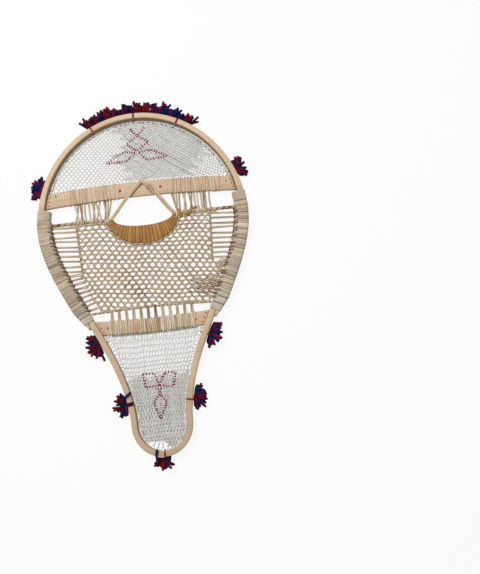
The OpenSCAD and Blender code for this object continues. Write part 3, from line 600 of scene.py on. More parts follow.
def grown(made, tree, **inputs):
    """Runs a tree of geometry nodes on an object and keeps the plain mesh"""
    modifier = made.modifiers.new("grow", "NODES")
    modifier.node_group = tree
    for item in tree.interface.items_tree:
        if item.in_out == "INPUT" and item.name in inputs:
            modifier[item.identifier] = inputs[item.name]
    seen = made.evaluated_get(bpy.context.evaluated_depsgraph_get())
    mesh = bpy.data.meshes.new_from_object(seen)
    made.modifiers.clear()
    made.data = mesh
    mesh.name = made.name
    return made


def finished(made, body, nodes):
    """Hands a piece over: what it rides on and the nodes that it stands for"""
    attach(made, body)
    if nodes:
        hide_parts(*nodes)


def swept(name, strands, section, material, nodes=(), body=FRAME):
    """One piece made of strands of the same section"""
    width, height, sides = section
    counts = [len(s.points) for s in strands]
    starts = np.cumsum([0] + counts)
    edges = []
    for s, start, count in zip(strands, starts, counts):
        line = np.arange(start, start + count)
        edges.append(np.stack([line[:-1], line[1:]], 1))
        if s.closed:
            edges.append(np.array([[line[-1], line[0]]]))
    mesh = bpy.data.meshes.new(name)
    mesh.from_pydata(metres(np.concatenate([s.points for s in strands])), np.concatenate(edges), [])
    keep_values(mesh, "FLOAT_VECTOR", across=np.concatenate([s.across for s in strands]))
    keep_values(mesh, "FLOAT", tint=np.concatenate([s.tint for s in strands]),
                girth=np.concatenate([s.girth for s in strands]))
    made = grown(linked(name, mesh), SWEEP, Width=width * MM, Height=height * MM, Sides=sides,
                 Material=material)
    finished(made, body, nodes)


def beaded(name, places, turns, sizes, tints, facets, material, nodes=()):
    """One piece made of small rounded beads, whose facets are their segments and rings"""
    segments, rings = facets
    mesh = bpy.data.meshes.new(name)
    mesh.from_pydata(metres(places), [], [])
    keep_values(mesh, "FLOAT_VECTOR", turn=turns, size=np.asarray(sizes) * MM)
    keep_values(mesh, "FLOAT", tint=tints)
    made = grown(linked(name, mesh), BEADS, Segments=segments, Rings=rings, Material=material)
    finished(made, FRAME, nodes)


# Lofts: solids through rings of points

class Loft:
    """Solids through rings, gathered into one piece, with a grain map in metres"""

    def __init__(self):
        self.points = []
        self.faces = []
        self.grain = []
        self.tints = []

    def add(self, rings, tint=0.5):
        """A solid through rings that all have as many points, with flat ends"""
        rings = np.asarray(rings, float)
        count, sides = rings.shape[:2]
        first = len(self.points)
        self.points.extend(rings.reshape(-1, 3))
        self.tints.extend(np.broadcast_to(tint, (count, sides)).ravel())
        u = distances(rings.mean(1)) * MM
        around = np.linalg.norm(np.roll(rings, -1, 1) - rings, axis=2)
        v = np.concatenate([np.zeros((count, 1)), np.cumsum(around, 1)], 1) * MM
        for i in range(count - 1):
            k = i + 1
            near, far = first + i * sides, first + k * sides
            for j in range(sides):
                m = (j + 1) % sides
                self.faces.append([near + j, near + m, far + m, far + j])
                self.grain.append([(u[i], v[i, j]), (u[i], v[i, j + 1]),
                                   (u[k], v[k, j + 1]), (u[k], v[k, j])])
        for i, order in ((0, range(sides - 1, -1, -1)), (count - 1, range(sides))):
            self.faces.append([first + i * sides + j for j in order])
            self.grain.append([tuple((rings[i, j] - rings[i, 0])[1:] * MM) for j in order])

    def piece(self, name, material, nodes):
        """The gathered solids as one finished piece"""
        mesh = bpy.data.meshes.new(name)
        mesh.from_pydata(metres(self.points), [], self.faces)
        layer = mesh.uv_layers.new(name="grain")
        layer.data.foreach_set("uv", np.array([c for face in self.grain for c in face], np.float32).ravel())
        keep_values(mesh, "FLOAT", tint=self.tints)
        mesh.materials.append(material)
        mesh.validate()
        mesh.update()
        for polygon in mesh.polygons:
            polygon.use_smooth = len(polygon.vertices) == 4
        finished(linked(name, mesh), FRAME, nodes)


def rounded_box(half_w, half_h, radius, steps=4):
    """Section points of a box with rounded corners, for each ring: across and up"""
    half_w, half_h, radius = np.broadcast_arrays(*(np.atleast_1d(np.asarray(v, float))
                                                   for v in (half_w, half_h, radius)))
    corners = [(1, -1, -90), (1, 1, 0), (-1, 1, 90), (-1, -1, 180)]
    across, up = [], []
    for sx, sz, start in corners:
        for k in range(steps):
            a = math.radians(start + 90 * k / (steps - 1))
            across.append(sx * (half_w - radius) + radius * math.cos(a))
            up.append(sz * (half_h - radius) + radius * math.sin(a))
    return np.stack(across, 1), np.stack(up, 1)


INNER_TOP = slice(8, 12)
INNER_WALL = slice(11, 13)


def stave_rings(places, near, far, low, high, radius, lean=0.0):
    """Rings of a stave from near to far out of the lap line, its inner wall leaning out at the top"""
    across, up = rounded_box(abs(far - near) / 2, (high - low) / 2, radius)
    across[:, INNER_TOP] += np.broadcast_to(lean, len(across))[:, None]
    middle = (near + far) / 2
    plan = beside(places[:, None], middle[:, None] + across)
    z = (low + high)[:, None] / 2 + up
    return np.concatenate([plan, z[..., None]], 2)


def both(places):
    """Places on the left and then on the right, through the middle at 0"""
    return np.concatenate([-places[::-1], places[places > 0]])


def make_hoop(name, t, way, near, width, shaved_to, lean, tones):
    """A bent stave, thinned up to a row for the bindings, with a leaning inner wall darkened by painted
    shade.

    Rows count towards the toe where way is 1 and towards the tail where it is -1.
    """
    edge_round = 1.5
    y = way * beside(t, 0)[:, 1]
    thin = SHAVED * (1 - ease(y, shaved_to + 1, shaved_to + 9))
    most, first, last = lean
    rings = stave_rings(t, near, near + width, thin, STAVE_H - thin,
                        np.minimum(edge_round, width / 2.2), most * ease(y, first, last))
    # tones gives the stave's tint and its inner wall's; the low one on the inner wall is painted shade
    shades = np.full(rings.shape[1], tones[0])
    shades[INNER_WALL] = tones[1]
    hoop = Loft()
    hoop.add(rings, shades)
    hoop.piece(name + "_stave", WOOD, [name])


def make_hoops():
    """The two bent staves, which lie against each other along the laps"""
    t = both(np.linspace(0, row_t(TOE_HOOP_END), 190))
    # The toe hoop's inner wall takes tint 0 and the tail hoop's 0.1: painted shade
    make_hoop("toe_hoop", t, 1, HALF_SEAT, toe_w(t), TAPE_FRONT, lean=(1.1, 170, 200), tones=(0.5, 0.0))
    right = np.linspace(row_t(TAIL_HOOP_END), 3, 210)
    t = np.concatenate([right, -right[-2::-1]])
    make_hoop("tail_hoop", t, -1, -HALF_SEAT - tail_w(t), tail_w(t), -END_TAPE_REAR,
              lean=(0.8, 110, 150), tones=(0.4, 0.1))


def make_crossbar(name, edge, bar_y, wall, node):
    """A bowed crossbar with rounded edges, cut to the hoop's inner face at both ends"""
    shoulder = 0.2
    end_low = face_x(edge(face_x(bar_y, wall), -1), wall) - shoulder
    end_high = face_x(edge(face_x(bar_y, wall), 1), wall) - shoulder
    reach = np.linspace(-1, 1, 61)
    low = edge(reach * end_low, -1)
    high = edge(reach * end_high, 1)
    across, up = rounded_box((high - low) / 2, (BAR_TOP - BAR_LOW) / 2, 2.4)
    y = (low + high)[:, None] / 2 + across
    part = (y - low[:, None]) / (high - low)[:, None]
    x = reach[:, None] * (end_low + part * (end_high - end_low))
    z = (BAR_LOW + BAR_TOP) / 2 + up
    bar = Loft()
    bar.add(np.stack([x, y, z], 2))
    bar.piece(name, BAR_WOOD, [node])


make_hoops()
make_crossbar("front_bar_wood", front_edge, FRONT_BAR_Y, -HALF_SEAT, "front_crossbar")
make_crossbar("rear_bar_wood", rear_edge, REAR_BAR_Y, -TOE_FACE, "rear_crossbar")


# Lines and weaves

def evenly(points, step):
    """A smooth line through points, cut into equal steps"""
    points = np.asarray(points, float)
    padded = np.concatenate([[2 * points[0] - points[1]], points, [2 * points[-1] - points[-2]]])
    u = np.linspace(0, 1, 12, endpoint=False)[:, None]
    fine = []
    for a, b, c, d in zip(padded, padded[1:], padded[2:], padded[3:]):
        curve = 2 * b + (c - a) * u + (2 * a - 5 * b + 4 * c - d) * u ** 2
        curve = curve + (3 * b - a - 3 * c + d) * u ** 3
        fine.append(curve / 2)
    fine = np.concatenate(fine + [points[-1:]])
    length = distances(fine)
    at = np.linspace(0, length[-1], max(2, round(length[-1] / step) + 1))
    return np.stack([np.interp(at, length, fine[:, k]) for k in range(fine.shape[1])], 1)


def twisted(path, plies, offset, lay, tint, spread=0.1, size=None):
    """Strands that wind round a path, one turn in each lay, thinner where the function size says so"""
    path = evenly(path, lay / 10)
    along = headings(path)
    side = square_to(along, np.stack([along[:, 1], -along[:, 0], 1e-6 + 0 * along[:, 0]], 1))
    up = np.cross(side, along)
    s = distances(path)
    girth = size(path) if size else 1 + 0 * s
    strands = []
    for k in range(plies):
        a = FULL * (s / lay + k / plies)[:, None]
        tone = (tint(path) if callable(tint) else tint) + spread * (2 * k / max(1, plies - 1) - 1)
        points = path + offset * girth[:, None] * (np.cos(a) * side + np.sin(a) * up)
        strands.append(Strand(points, tone, girth))
    return strands


def round_angles(count):
    """Equal angles round a full turn"""
    return np.linspace(0, FULL, count + 1)[:-1]


def at_height(plan, z):
    """Plan points raised to a height"""
    return np.concatenate([plan, np.broadcast_to(np.asarray(z, float), len(plan))[:, None]], 1)


def inside(plan, outline):
    """Which plan points lie inside an outline"""
    x, y = plan[:, 0], plan[:, 1]
    hit = np.zeros(len(plan), bool)
    for (ax, ay), (bx, by) in zip(outline, np.roll(outline, -1, 0)):
        if ay != by:
            hit ^= ((ay > y) != (by > y)) & (x < ax + (bx - ax) * (y - ay) / (by - ay))
    return hit


def runs(mask, least):
    """First and last points of each unbroken run of true values"""
    ends = np.flatnonzero(np.diff(np.concatenate([[0], mask.astype(int), [0]]))).reshape(-1, 2)
    return [(a, b) for a, b in ends if b - a >= least]


def hand_drawn(plan, amount):
    """Plan points moved a little, the same way for neighbours, as a hand-laced net's strands lie"""
    x, y = plan[:, 0], plan[:, 1]
    dx = np.sin(y / 13 + 0.7) + np.sin(x / 21 + y / 37 + 2.1)
    dy = np.sin(x / 15 + 1.3) + np.sin(y / 19 - x / 33 + 0.4)
    return plan + amount * np.stack([dx, dy], 1)


def spin_by(turn):
    """A matrix that turns plan points into a net's own directions; its transpose turns them back"""
    c, s = math.cos(turn), math.sin(turn)
    return np.array([[c, -s], [s, c]])


def three_way_weave(outline, pitch, row, turn, rise, step, seed, tone, spread, girth, stray, laid):
    """Strands that run in three directions inside an outline, each over one neighbour and under the other.

    Strands of the first direction lie a row apart, and meet the two slanting ones twice in each pitch. Each
    line strays a little from its place. The functions tone and girth give each plan point its tone and
    thickness, with 0 for the first direction and 1 or -1 for the others, and laid moves the points of the
    even net to where the lacing pulls them.
    """
    rng = np.random.default_rng(seed)
    spin = spin_by(turn)
    local = outline @ spin
    spare = 0.25 * (local.max(0) - local.min(0))
    low = local.min(0) - spare
    high = local.max(0) + spare
    lines = []
    for k in range(math.floor(low[1] / row), math.ceil(high[1] / row) + 1):
        x = np.arange(low[0], high[0], step)
        y = k * row + rng.normal(0, stray) + 0 * x
        lines.append((x, y, np.cos(FULL * (x / pitch - 0.25 - k / 2)), 0))
    slope = pitch / (2 * row)
    y = np.arange(low[1], high[1], step / math.hypot(1, slope))
    for side in (1, -1):
        lean = side * slope * y
        first = math.floor((low[0] - lean.max()) / pitch)
        last = math.ceil((high[0] - lean.min()) / pitch)
        for j in range(first, last + 1):
            x = (j + side * 0.25) * pitch + rng.normal(0, stray) + lean
            lines.append((x, y, -side * np.cos(FULL * y / row), side))
    strands = []
    for x, y, over, way in lines:
        plan = laid(np.stack([x, y], 1) @ spin.T)
        tint = rng.uniform(-spread, spread)
        for a, b in runs(inside(plan, outline), 3):
            points = at_height(plan[a:b], NET_Z + rise * over[a:b])
            strands.append(Strand(points, tint + tone(plan[a:b], way), girth(plan[a:b], way)))
    return strands


def twined_weave(outline, pitch, row, seed, tone, spread, girth, swing):
    """Upright strands that meet their left and right neighbours by turns, and level threads that bind them.

    The functions row and swing give the height of a mesh and the sway of the strands at each row. The
    functions tone and girth take 1 and -1 by turns for the upright strands and 0 for the level ones.
    """
    rng = np.random.default_rng(seed)
    step = 1.2
    low = outline.min(0)
    high = outline.max(0)
    y = np.arange(low[1], high[1], step)
    phase = math.pi * np.cumsum(step / row(y))
    lines = []
    for i in range(math.floor(2 * low[0] / pitch), math.ceil(2 * high[0] / pitch) + 1):
        way = 1 if i % 2 else -1
        slip = rng.normal(0, 0.6)
        x = i * pitch / 2 + way * swing(y) * np.cos(phase + slip) + rng.normal(0, 0.16)
        lines.append((x, y, 0.3 * way * np.sin(phase + slip), rng.uniform(0.85, 1.15), way))
    x = np.arange(low[0], high[0], step)
    for k in range(int(phase[-1] / math.pi)):
        level = np.interp((k + 0.5) * math.pi, phase, y) + rng.normal(0, 0.25)
        over = 0.45 * np.cos(FULL * x / pitch + math.pi * k)
        lines.append((x, level + 0 * x, over, rng.uniform(0.6, 0.85), 0))
    strands = []
    for x, y, over, thickness, way in lines:
        plan = hand_drawn(np.stack([x, y], 1), 0.9)
        tint = rng.normal(0, spread)
        for a, b in runs(inside(plan, outline), 3):
            points = at_height(plan[a:b], NET_Z + over[a:b])
            strands.append(Strand(points, tint + tone(plan[a:b], way), thickness * girth(plan[a:b], way)))
    return strands


def rows_below(outline, pitch, turn, drop, seed, tone, keep):
    """Side by side strands below a weave, where the function keep says so"""
    rng = np.random.default_rng(seed)
    spin = spin_by(turn)
    local = outline @ spin
    low = local.min(0)
    high = local.max(0)
    x = np.arange(low[0], high[0], 2.5)
    strands = []
    for y in np.arange(low[1], high[1], pitch):
        plan = hand_drawn(np.stack([x, y + rng.normal(0, 0.15) + 0 * x], 1) @ spin.T, 0.3)
        tint = rng.normal(tone, 0.08)
        for a, b in runs(inside(plan, outline) & keep(plan), 3):
            strands.append(Strand(at_height(plan[a:b], NET_Z - drop), tint, rng.uniform(0.7, 1.15)))
    return strands


def mirrored_outline(half):
    """A closed outline from its right half"""
    return np.concatenate([half, (half * [-1, 1])[::-1]])


def toe_side(margin):
    """Right half of the toe net's edge along the wood, from the middle to the front crossbar"""
    d = -HALF_SEAT - margin
    end = row_t(front_edge(face_x(FRONT_BAR_Y, d), 1) + margin, d)
    return beside(np.linspace(0.001, end, 90), d)


def toe_outline(margin):
    """Edge of the toe's weave, margin in from the wood and the front crossbar"""
    side = toe_side(margin)
    x = np.linspace(side[-1, 0], 0, 24)[1:]
    return mirrored_outline(np.concatenate([side, np.stack([x, front_edge(x, 1) + margin], 1)]))


def tail_side(margin):
    """Right half of the tail net's edge along the wood, from the rear crossbar to the tail's end"""
    d = -TOE_FACE - margin
    start = row_t(rear_edge(face_x(REAR_BAR_Y, d), -1) - margin, d)
    return beside(np.linspace(start, 2.999, 110), d)


TAIL_INNER_Y = -TAIL_START - TAIL_ROUND + TOE_FACE


def tail_outline(side_margin, bar_margin, end_margin):
    """Edge of the tail's weave, short of the wood and of the tail's end as functions of y and x say"""
    side = tail_side(0.5)
    side[:, 0] = np.maximum(side[:, 0] - side_margin(side[:, 1]), 0)
    x = np.linspace(0, side[0, 0], 24)[:-1]
    outline = mirrored_outline(np.concatenate([np.stack([x, rear_edge(x, -1)], 1), side]))
    top = rear_edge(outline[:, 0], -1) - bar_margin
    bottom = TAIL_INNER_Y + end_margin(outline[:, 0])
    outline[:, 1] = np.maximum(np.minimum(outline[:, 1], top), bottom)
    return outline


def edge_loops(path, depths, pitch, near, tint, seed):
    """Thread that loops between the wood, near its line, and a net's edge, further in by depths along it"""
    rng = np.random.default_rng(seed)
    path = evenly(path, pitch / 10)
    along = headings(at_height(path, 0))
    inward = np.stack([along[:, 1], -along[:, 0]], 1)
    s = distances(path)
    phase = FULL * s / pitch + 0.9 * np.sin(s / 11 + rng.uniform(0, 6)) + 0.7 * np.sin(s / 4.7)
    depth = np.interp(np.linspace(0, 1, len(s)), np.linspace(0, 1, len(depths)), depths)
    reach = near + depth * (1 - np.cos(phase)) / 2
    plan = path + inward * reach[:, None] + along[:, :2] * (0.25 * pitch * np.sin(phase))[:, None]
    return Strand(at_height(plan, NET_Z + 0.5 * np.sin(phase)), tint)


def flip(plan):
    """Points mirrored to the left of the shoe"""
    return np.asarray(plan, float) * np.array([-1, 1, 1][:np.shape(plan)[1]])


def over_middle(half):
    """A line over the middle of the shoe, from its right half"""
    return np.concatenate([flip(half)[::-1], half])


def flipped(strand):
    """A strand mirrored to the left of the shoe"""
    return Strand(flip(strand.points), strand.tint, strand.girth, strand.across * [-1, 1, 1], strand.closed)


def on_side(side, strands):
    """Strands made for the right side, mirrored where the side is the left one"""
    return [flipped(s) for s in strands] if side == "left" else strands


TOE_MOTIF_Y = WIDEST_ROW + 145
TAIL_MOTIF_Y = 53 - TAIL_START


def make_toe_net():
    """Fine white weave of the toe, open at the left, its selvage loops and cord, and knots whose dark brown
    is painted shade
    """
    def right_share(plan):
        return ease(plan[:, 0], -90, 40)

    def thickness(plan, way):
        left, right = {0: (0.46, 0.5), 1: (1.0, 0.85), -1: (1.06, 1.35)}[way]
        return left + (right - left) * right_share(plan)

    def whiteness(plan, way):
        return 0.66 - 0.08 * right_share(plan) + (0.08 if way < 0 else -0.03)

    def opened_left(plan):
        place = plan[:, 0] + 1j * (plan[:, 1] - TOE_MOTIF_Y)
        place = place + (-0.0016 + 0.002j) * place ** 2 / 2
        return hand_drawn(np.stack([place.real, place.imag + TOE_MOTIF_Y], 1), 0.3)

    def right_of_motif(plan):
        x, y = plan[:, 0], plan[:, 1]
        left = -36 + 14 * np.sin(y / 11) + 9 * np.sin(y / 2.7)
        ragged = 15 * np.sin(y / 3.1 + x / 5) + 10 * np.sin(x / 2.3 - y / 1.7)
        return (x > left) & (x < 104 + 0.9 * (y - 205) + ragged)

    outline = toe_outline(4.6)
    weave = three_way_weave(
        outline, pitch=7.4, row=4.5, turn=math.radians(2), rise=0.42, step=1.2, seed=11, tone=whiteness,
        spread=0.11, girth=thickness, stray=0.2, laid=opened_left)
    for part, first in (("", 0), ("_crossing", 1)):
        swept("toe_net_weave" + part, weave[first::2], TOE_WEAVE, FINE_CORD, ["toe_net"])
    # These darker rows fill the holes of the right part with grey: painted shade seen through the weave
    lining = rows_below(outline, pitch=2.6, turn=math.radians(-36), drop=0.9, seed=14, tone=0.4,
                        keep=right_of_motif)
    swept("toe_net_under_rows", lining, TOE_UNDER_ROW, FINE_CORD, ["toe_net"])
    side = toe_side(0)
    x = np.linspace(side[-1, 0] - 2, 2 - side[-1, 0], 60)
    bar = np.stack([x, front_edge(x, 1)], 1)
    # The edge loops' low tints are painted shade along the wood and the crossbar
    loops = [edge_loops(over_middle(side), [5.0], pitch=3.7, near=0.5, tint=0.3, seed=1),
             edge_loops(bar, [3.8], pitch=6.4, near=0.4, tint=0.22, seed=2)]
    rim = at_height(over_middle(toe_side(4.9)), NET_Z)
    loops += twisted(rim, plies=2, offset=0.6, lay=5, tint=0.42)
    swept("toe_net_edge", loops, TOE_EDGE, FINE_CORD, ["toe_net_selvage"])
    # Dark brown knots along the selvage stand in for the loops' shadows: painted shade
    rng = np.random.default_rng(16)
    knots = evenly(at_height(over_middle(toe_side(5.6)), NET_Z + 1), 9.5)
    along = headings(knots)
    knots = knots + along * rng.uniform(-3.5, 3.5, (len(knots), 1))
    knots = knots + rng.uniform(-0.8, 0.8, knots.shape) * [1, 1, 0]
    turns = np.stack([0 * along[:, 0], 0 * along[:, 0], np.arctan2(along[:, 1], along[:, 0])], 1)
    sizes = rng.uniform((2.2, 1.8, 1.4), (6.2, 3.2, 2.2), (len(knots), 3))
    tones = rng.uniform(-0.1, 0.35, len(knots))
    beaded("toe_net_edge_knots", knots, turns, sizes, tones, SMALL_BEAD, HIDE)


def make_tail_net():
    """Twined white weave of the tail, open at the rear crossbar and the tail's end, close between them"""
    def near_bar(plan):
        return 1 - ease(-plan[:, 1], 165, 210)

    def closer_towards_end(plan, way):
        return 1.06 + {1: 0.1, -1: -0.36, 0: -0.1}[way] * near_bar(plan)

    # Strands are paler near the rear crossbar and greyer towards the tail's end; the grey is painted shade
    def greyer_towards_end(plan, way):
        return 0.54 + {1: 0.5, -1: 0.02, 0: 0.0}[way] * near_bar(plan)

    def swing(y):
        return 1.0 - 0.65 * ease(-y, 180, 205) + 0.55 * ease(-y, 235, 285)

    def row(y):
        return 11 - 3.4 * ease(-y, 130, 185)

    def lower_part(plan):
        return plan[:, 1] < -192 + 5 * np.sin(plan[:, 0] / 8) + 3 * np.sin(plan[:, 0] / 2.1)

    def open_flank(y):
        return 2.6 + 5.0 * (1 - ease(-y, 120, 185))

    def open_end(x):
        return 19 - 14 * ease(x, -2, 12)

    outline = tail_outline(open_flank, 9, open_end)
    weave = twined_weave(outline, pitch=6.1, row=row, seed=12, tone=greyer_towards_end, spread=0.07,
                         girth=closer_towards_end, swing=swing)
    swept("tail_net_weave", weave, TAIL_WEAVE, FINE_CORD, ["tail_net"])
    # These darker rows fill the holes of the lower part with grey: painted shade seen through the weave
    lining = rows_below(outline, pitch=2.3, turn=math.radians(-3), drop=1.2, seed=15, tone=0.34,
                        keep=lower_part)
    swept("tail_net_under_rows", lining, TAIL_UNDER_ROW, FINE_CORD, ["tail_net"])
    side = tail_side(0)
    upper = side[side[:, 1] > -196]
    lower = side[(side[:, 1] <= -194) & (side[:, 1] > -TAIL_START - 36)]
    end = side[side[:, 1] <= -TAIL_START - 34]
    end = np.concatenate([end, flip(end)[::-1]])
    reach = np.maximum(3, TAIL_INNER_Y + open_end(end[:, 0]) - end[:, 1]) + 2.5
    x = np.linspace(2 - side[0, 0], side[0, 0] - 2, 60)
    bar = np.stack([x, rear_edge(x, -1)], 1)
    # The lower flank loops are greyer as painted shade, like the weave there
    loops = [edge_loops(upper, [9, 4], pitch=6.6, near=0.4, tint=0.5, seed=3),
             flipped(edge_loops(upper, [9, 4], pitch=7.1, near=0.4, tint=0.42, seed=4)),
             edge_loops(lower, [3.0], pitch=3.9, near=0.3, tint=0.28, seed=8),
             flipped(edge_loops(lower, [3.0], pitch=4.1, near=0.3, tint=0.26, seed=9)),
             edge_loops(end, reach, pitch=10.5, near=0.3, tint=0.6, seed=7),
             edge_loops(bar, [12.0], pitch=4.3, near=0.8, tint=0.8, seed=5),
             edge_loops(bar, [10.5], pitch=5.9, near=0.8, tint=0.72, seed=6)]
    swept("tail_net_edge", loops, TAIL_EDGE, FINE_CORD, ["tail_net_selvage"])


def stitch_rungs(lines, origin_y, seed):
    """Places, turns, sizes and tones of the short red stitches that lie across a motif's lines"""
    rng = np.random.default_rng(seed)
    pitch = 5.4
    places, turns, sizes, tones = [], [], [], []
    for line in lines:
        for a, b in zip(np.array(line[:-1], float), np.array(line[1:], float)):
            v = b - a
            count = max(1, round(np.linalg.norm(v) / pitch))
            for k in range(count):
                at = a + v * (k + 0.5) / count + rng.normal(0, 0.3, 2)
                places.append((at[0], at[1] + origin_y, NET_Z + 1.2))
                turns.append((0, 0, math.atan2(v[1], v[0]) + math.pi / 2 + rng.normal(0, 0.22)))
                sizes.append((rng.uniform(4.4, 6.4), rng.uniform(2.2, 2.9), 1.4))
                tones.append(rng.uniform(0.15, 0.75))
    return places, turns, sizes, tones


def make_stitching():
    """Red figures sewn on the end nets"""
    toe = [[(21, 53), (4, 36), (25, 20), (0, 4)], [(-11, 53), (4, 36), (-20, 20), (0, 4)],
           [(3, 0), (29, 4), (62, -14), (19, -17), (3, 0)],
           [(-3, 0), (-27, 4), (-66, -17), (-24, -17), (-3, 0)]]
    half = np.array([(10, 45), (33, 45), (27, 18), (0, 20), (10, 45)])
    drop = np.array([(0, 17), (4.5, 11), (0, 5), (13, -12), (0, -45)])
    lean = spin_by(math.radians(-3)).T
    tail = [line @ lean for line in (half, flip(half), drop, flip(drop))]
    for name, lines, origin, seed in (("toe_net_stitching", toe, TOE_MOTIF_Y, 21),
                                      ("tail_net_stitching", tail, TAIL_MOTIF_Y, 22)):
        rungs = stitch_rungs(lines, origin, seed)
        beaded(name + "_thread", *rungs, SMALL_BEAD, RED_THREAD, [name])


def arc_point(half, depth, angle):
    """Plan point of the toe hole's edge lines, at an angle from the right end"""
    return np.stack([half * np.cos(angle), LEATHER_Y - depth * np.sin(angle)], -1)


MASTER_HALF = 73.9
MASTER_DROP = 56.7


def master_path():
    """Right half of the master cord's route, from the middle below the toe hole to the winding"""
    arc = arc_point(MASTER_HALF, MASTER_DROP, np.radians(np.linspace(90, 8, 20)))
    end = face_x(MASTER_Y, -WRAP_INNER)
    straight = [(MASTER_HALF + 1.5, LEATHER_Y - 2), (MASTER_HALF + 8, MASTER_Y), (120, MASTER_Y + 0.5),
                (end, MASTER_Y)]
    return np.concatenate([arc, straight])


LEFT_GAP = 22
RIGHT_GAP = 4


def centre_outline():
    """Edge of the centre net: master cord, selvage cords, lower border and, short of them, the windings"""
    arc = arc_point(MASTER_HALF, MASTER_DROP, np.radians(np.linspace(90, 6, 24)))
    corner = [(MASTER_HALF + 8, MASTER_Y - 1), (selvage_at(MASTER_Y), MASTER_Y - 1),
              (selvage_at(SELVAGE_REAR), SELVAGE_REAR)]
    y = np.linspace(SELVAGE_REAR - 1, LOWER_BORDER_Y - 3, 14)
    halves = []
    for gap in (RIGHT_GAP, LEFT_GAP):
        flank = np.stack([face_x(y, -WRAP_INNER) - gap, y], 1)
        x = np.linspace(flank[-1, 0] - 2, 0, 14)
        border = np.stack([x, lower_border(x)], 1)
        halves.append(np.concatenate([arc, corner, flank, border]))
    return np.concatenate([halves[0], flip(halves[1])[::-1]])


def dark_ended(route, tone, dark):
    """A strand of lacing with painted shade where it goes round the right winding"""
    points = evenly(route, 2.5)
    end = route[-1][0]
    return Strand(points, tone - dark * share(points[:, 0], end - 7, end - 1))


def flank_strands(gap, lift, spacing, seed):
    """Doubled strands from the net's edge, gap away, to the right winding, below the selvage cord"""
    rng = np.random.default_rng(seed)
    strands = []
    for y in np.arange(SELVAGE_REAR - 3, LOWER_BORDER_Y + 2, -spacing):
        low = share(-y, -SELVAGE_REAR, -LOWER_BORDER_Y)
        rise = lift * (0.4 + 0.8 * low) + rng.uniform(-1.5, 1.5)
        for side in (-1, 1):
            outer = np.array([face_x(y, -WRAP_INNER) + 0.6, y + side * 1.0, NET_Z])
            inner_y = y + rise + side * rng.uniform(0.9, 2.2)
            inner = np.array([face_x(inner_y, -WRAP_INNER) - gap - 5, inner_y, NET_Z + 0.5 * side])
            middle = (inner + outer) / 2 + [0, rng.uniform(-0.8, 0.8), 0]
            strands.append(dark_ended([inner, middle, outer], rng.normal(0.56, 0.1), 0.28))
    return strands


def make_centre_net():
    """Coarse rawhide weave under the foot, gathered at the right waist, with strands to the windings"""
    def right_waist(plan):
        return np.exp(-((plan[:, 0] - 116) / 36) ** 2 - ((plan[:, 1] + 20) / 19) ** 2)

    def brown_patch(plan, way):
        x, y = plan[:, 0] + 24, plan[:, 1] + 17
        patch = np.exp(-((x + 0.67 * y) / 17) ** 2 - ((y - 0.67 * x) / 60) ** 2)
        return 0.57 - 0.27 * patch - 0.14 * right_waist(plan)

    def uneven(plan, way):
        return 1 + 0.1 * np.sin(plan[:, 0] / 11 + plan[:, 1] / 17)

    def gathered(plan):
        return right_waist(plan) > 0.42 + 0.2 * np.sin(plan[:, 0] / 3 + plan[:, 1] / 2)

    def pulled(plan):
        return hand_drawn(plan, 0.8)

    outline = centre_outline()
    strands = three_way_weave(
        outline, pitch=13.5, row=8.8, turn=math.radians(-5.5), rise=0.95, step=1.5, seed=13,
        tone=brown_patch, spread=0.17, girth=uneven, stray=0.62, laid=pulled)
    swept("centre_net_weave", strands, CENTRE_WEAVE, HIDE, ["centre_net"])
    lining = rows_below(outline, pitch=4.2, turn=math.radians(-24), drop=1.6, seed=17, tone=0.36,
                        keep=gathered)
    swept("centre_net_gathered_rows", lining, GATHERED_ROW, HIDE, ["centre_net"])
    right = flank_strands(RIGHT_GAP + 6, lift=5, spacing=6.5, seed=18)
    left = on_side("left", flank_strands(LEFT_GAP, lift=7, spacing=9.2, seed=19))
    swept("centre_net_flank_strands", right + left, SIDE_LACE, HIDE, ["centre_net"])


def make_cords():
    """Twisted cords that border the centre net, and loose strands beside the master cord"""
    half = master_path()
    path = np.concatenate([flip(half)[::-1], half[1:]])

    # Darker where the cord goes into the windings, as painted shade, and a little paler outside the leather
    def shaded_at_ends(points):
        return 0.5 + 0.04 * ease(abs(points[:, 0]), 60, 80) - 0.3 * ease(abs(points[:, 0]), 152, 172)

    def thinner_at_leather(points):
        return 0.62 + 0.38 * ease(abs(points[:, 0]), 70, 84)

    plies = twisted(at_height(path, NET_Z + 0.5), plies=3, offset=2.0, lay=13, tint=shaded_at_ends,
                    spread=0.26, size=thinner_at_leather)
    for side in (-1, 1):
        below = [(side * 84, MASTER_Y - 4.6, NET_Z + 0.8), (side * 112, MASTER_Y - 5.0, NET_Z + 1.2),
                 (side * 150, MASTER_Y - 4.4, NET_Z + 0.6)]
        plies.append(Strand(evenly(below, 2.5), 0.74))
    swept("master_cord_plies", plies, MASTER_PLY, HIDE, ["master_cord"])
    x = np.linspace(-1, 1, 25) * (face_x(LOWER_BORDER_Y - LOWER_BORDER_DIP, -WRAP_INNER) - 1.5)
    border = at_height(np.stack([x, lower_border(x)], 1), NET_Z)
    plies = twisted(border, plies=2, offset=1.4, lay=17, tint=0.6)
    swept("lower_border_plies", plies, BORDER_PLY, HIDE, ["lower_border_cord"])
    y = np.linspace(MASTER_Y - 1, SELVAGE_REAR, 9)
    line = at_height(np.stack([selvage_at(y), y], 1), NET_Z + 0.3)
    for side in ("right", "left"):
        plies = on_side(side, twisted(line, plies=2, offset=1.25, lay=12, tint=0.47))
        swept(side + "_selvage_plies", plies, SELVAGE_PLY, HIDE, [side + "_selvage_cord"])


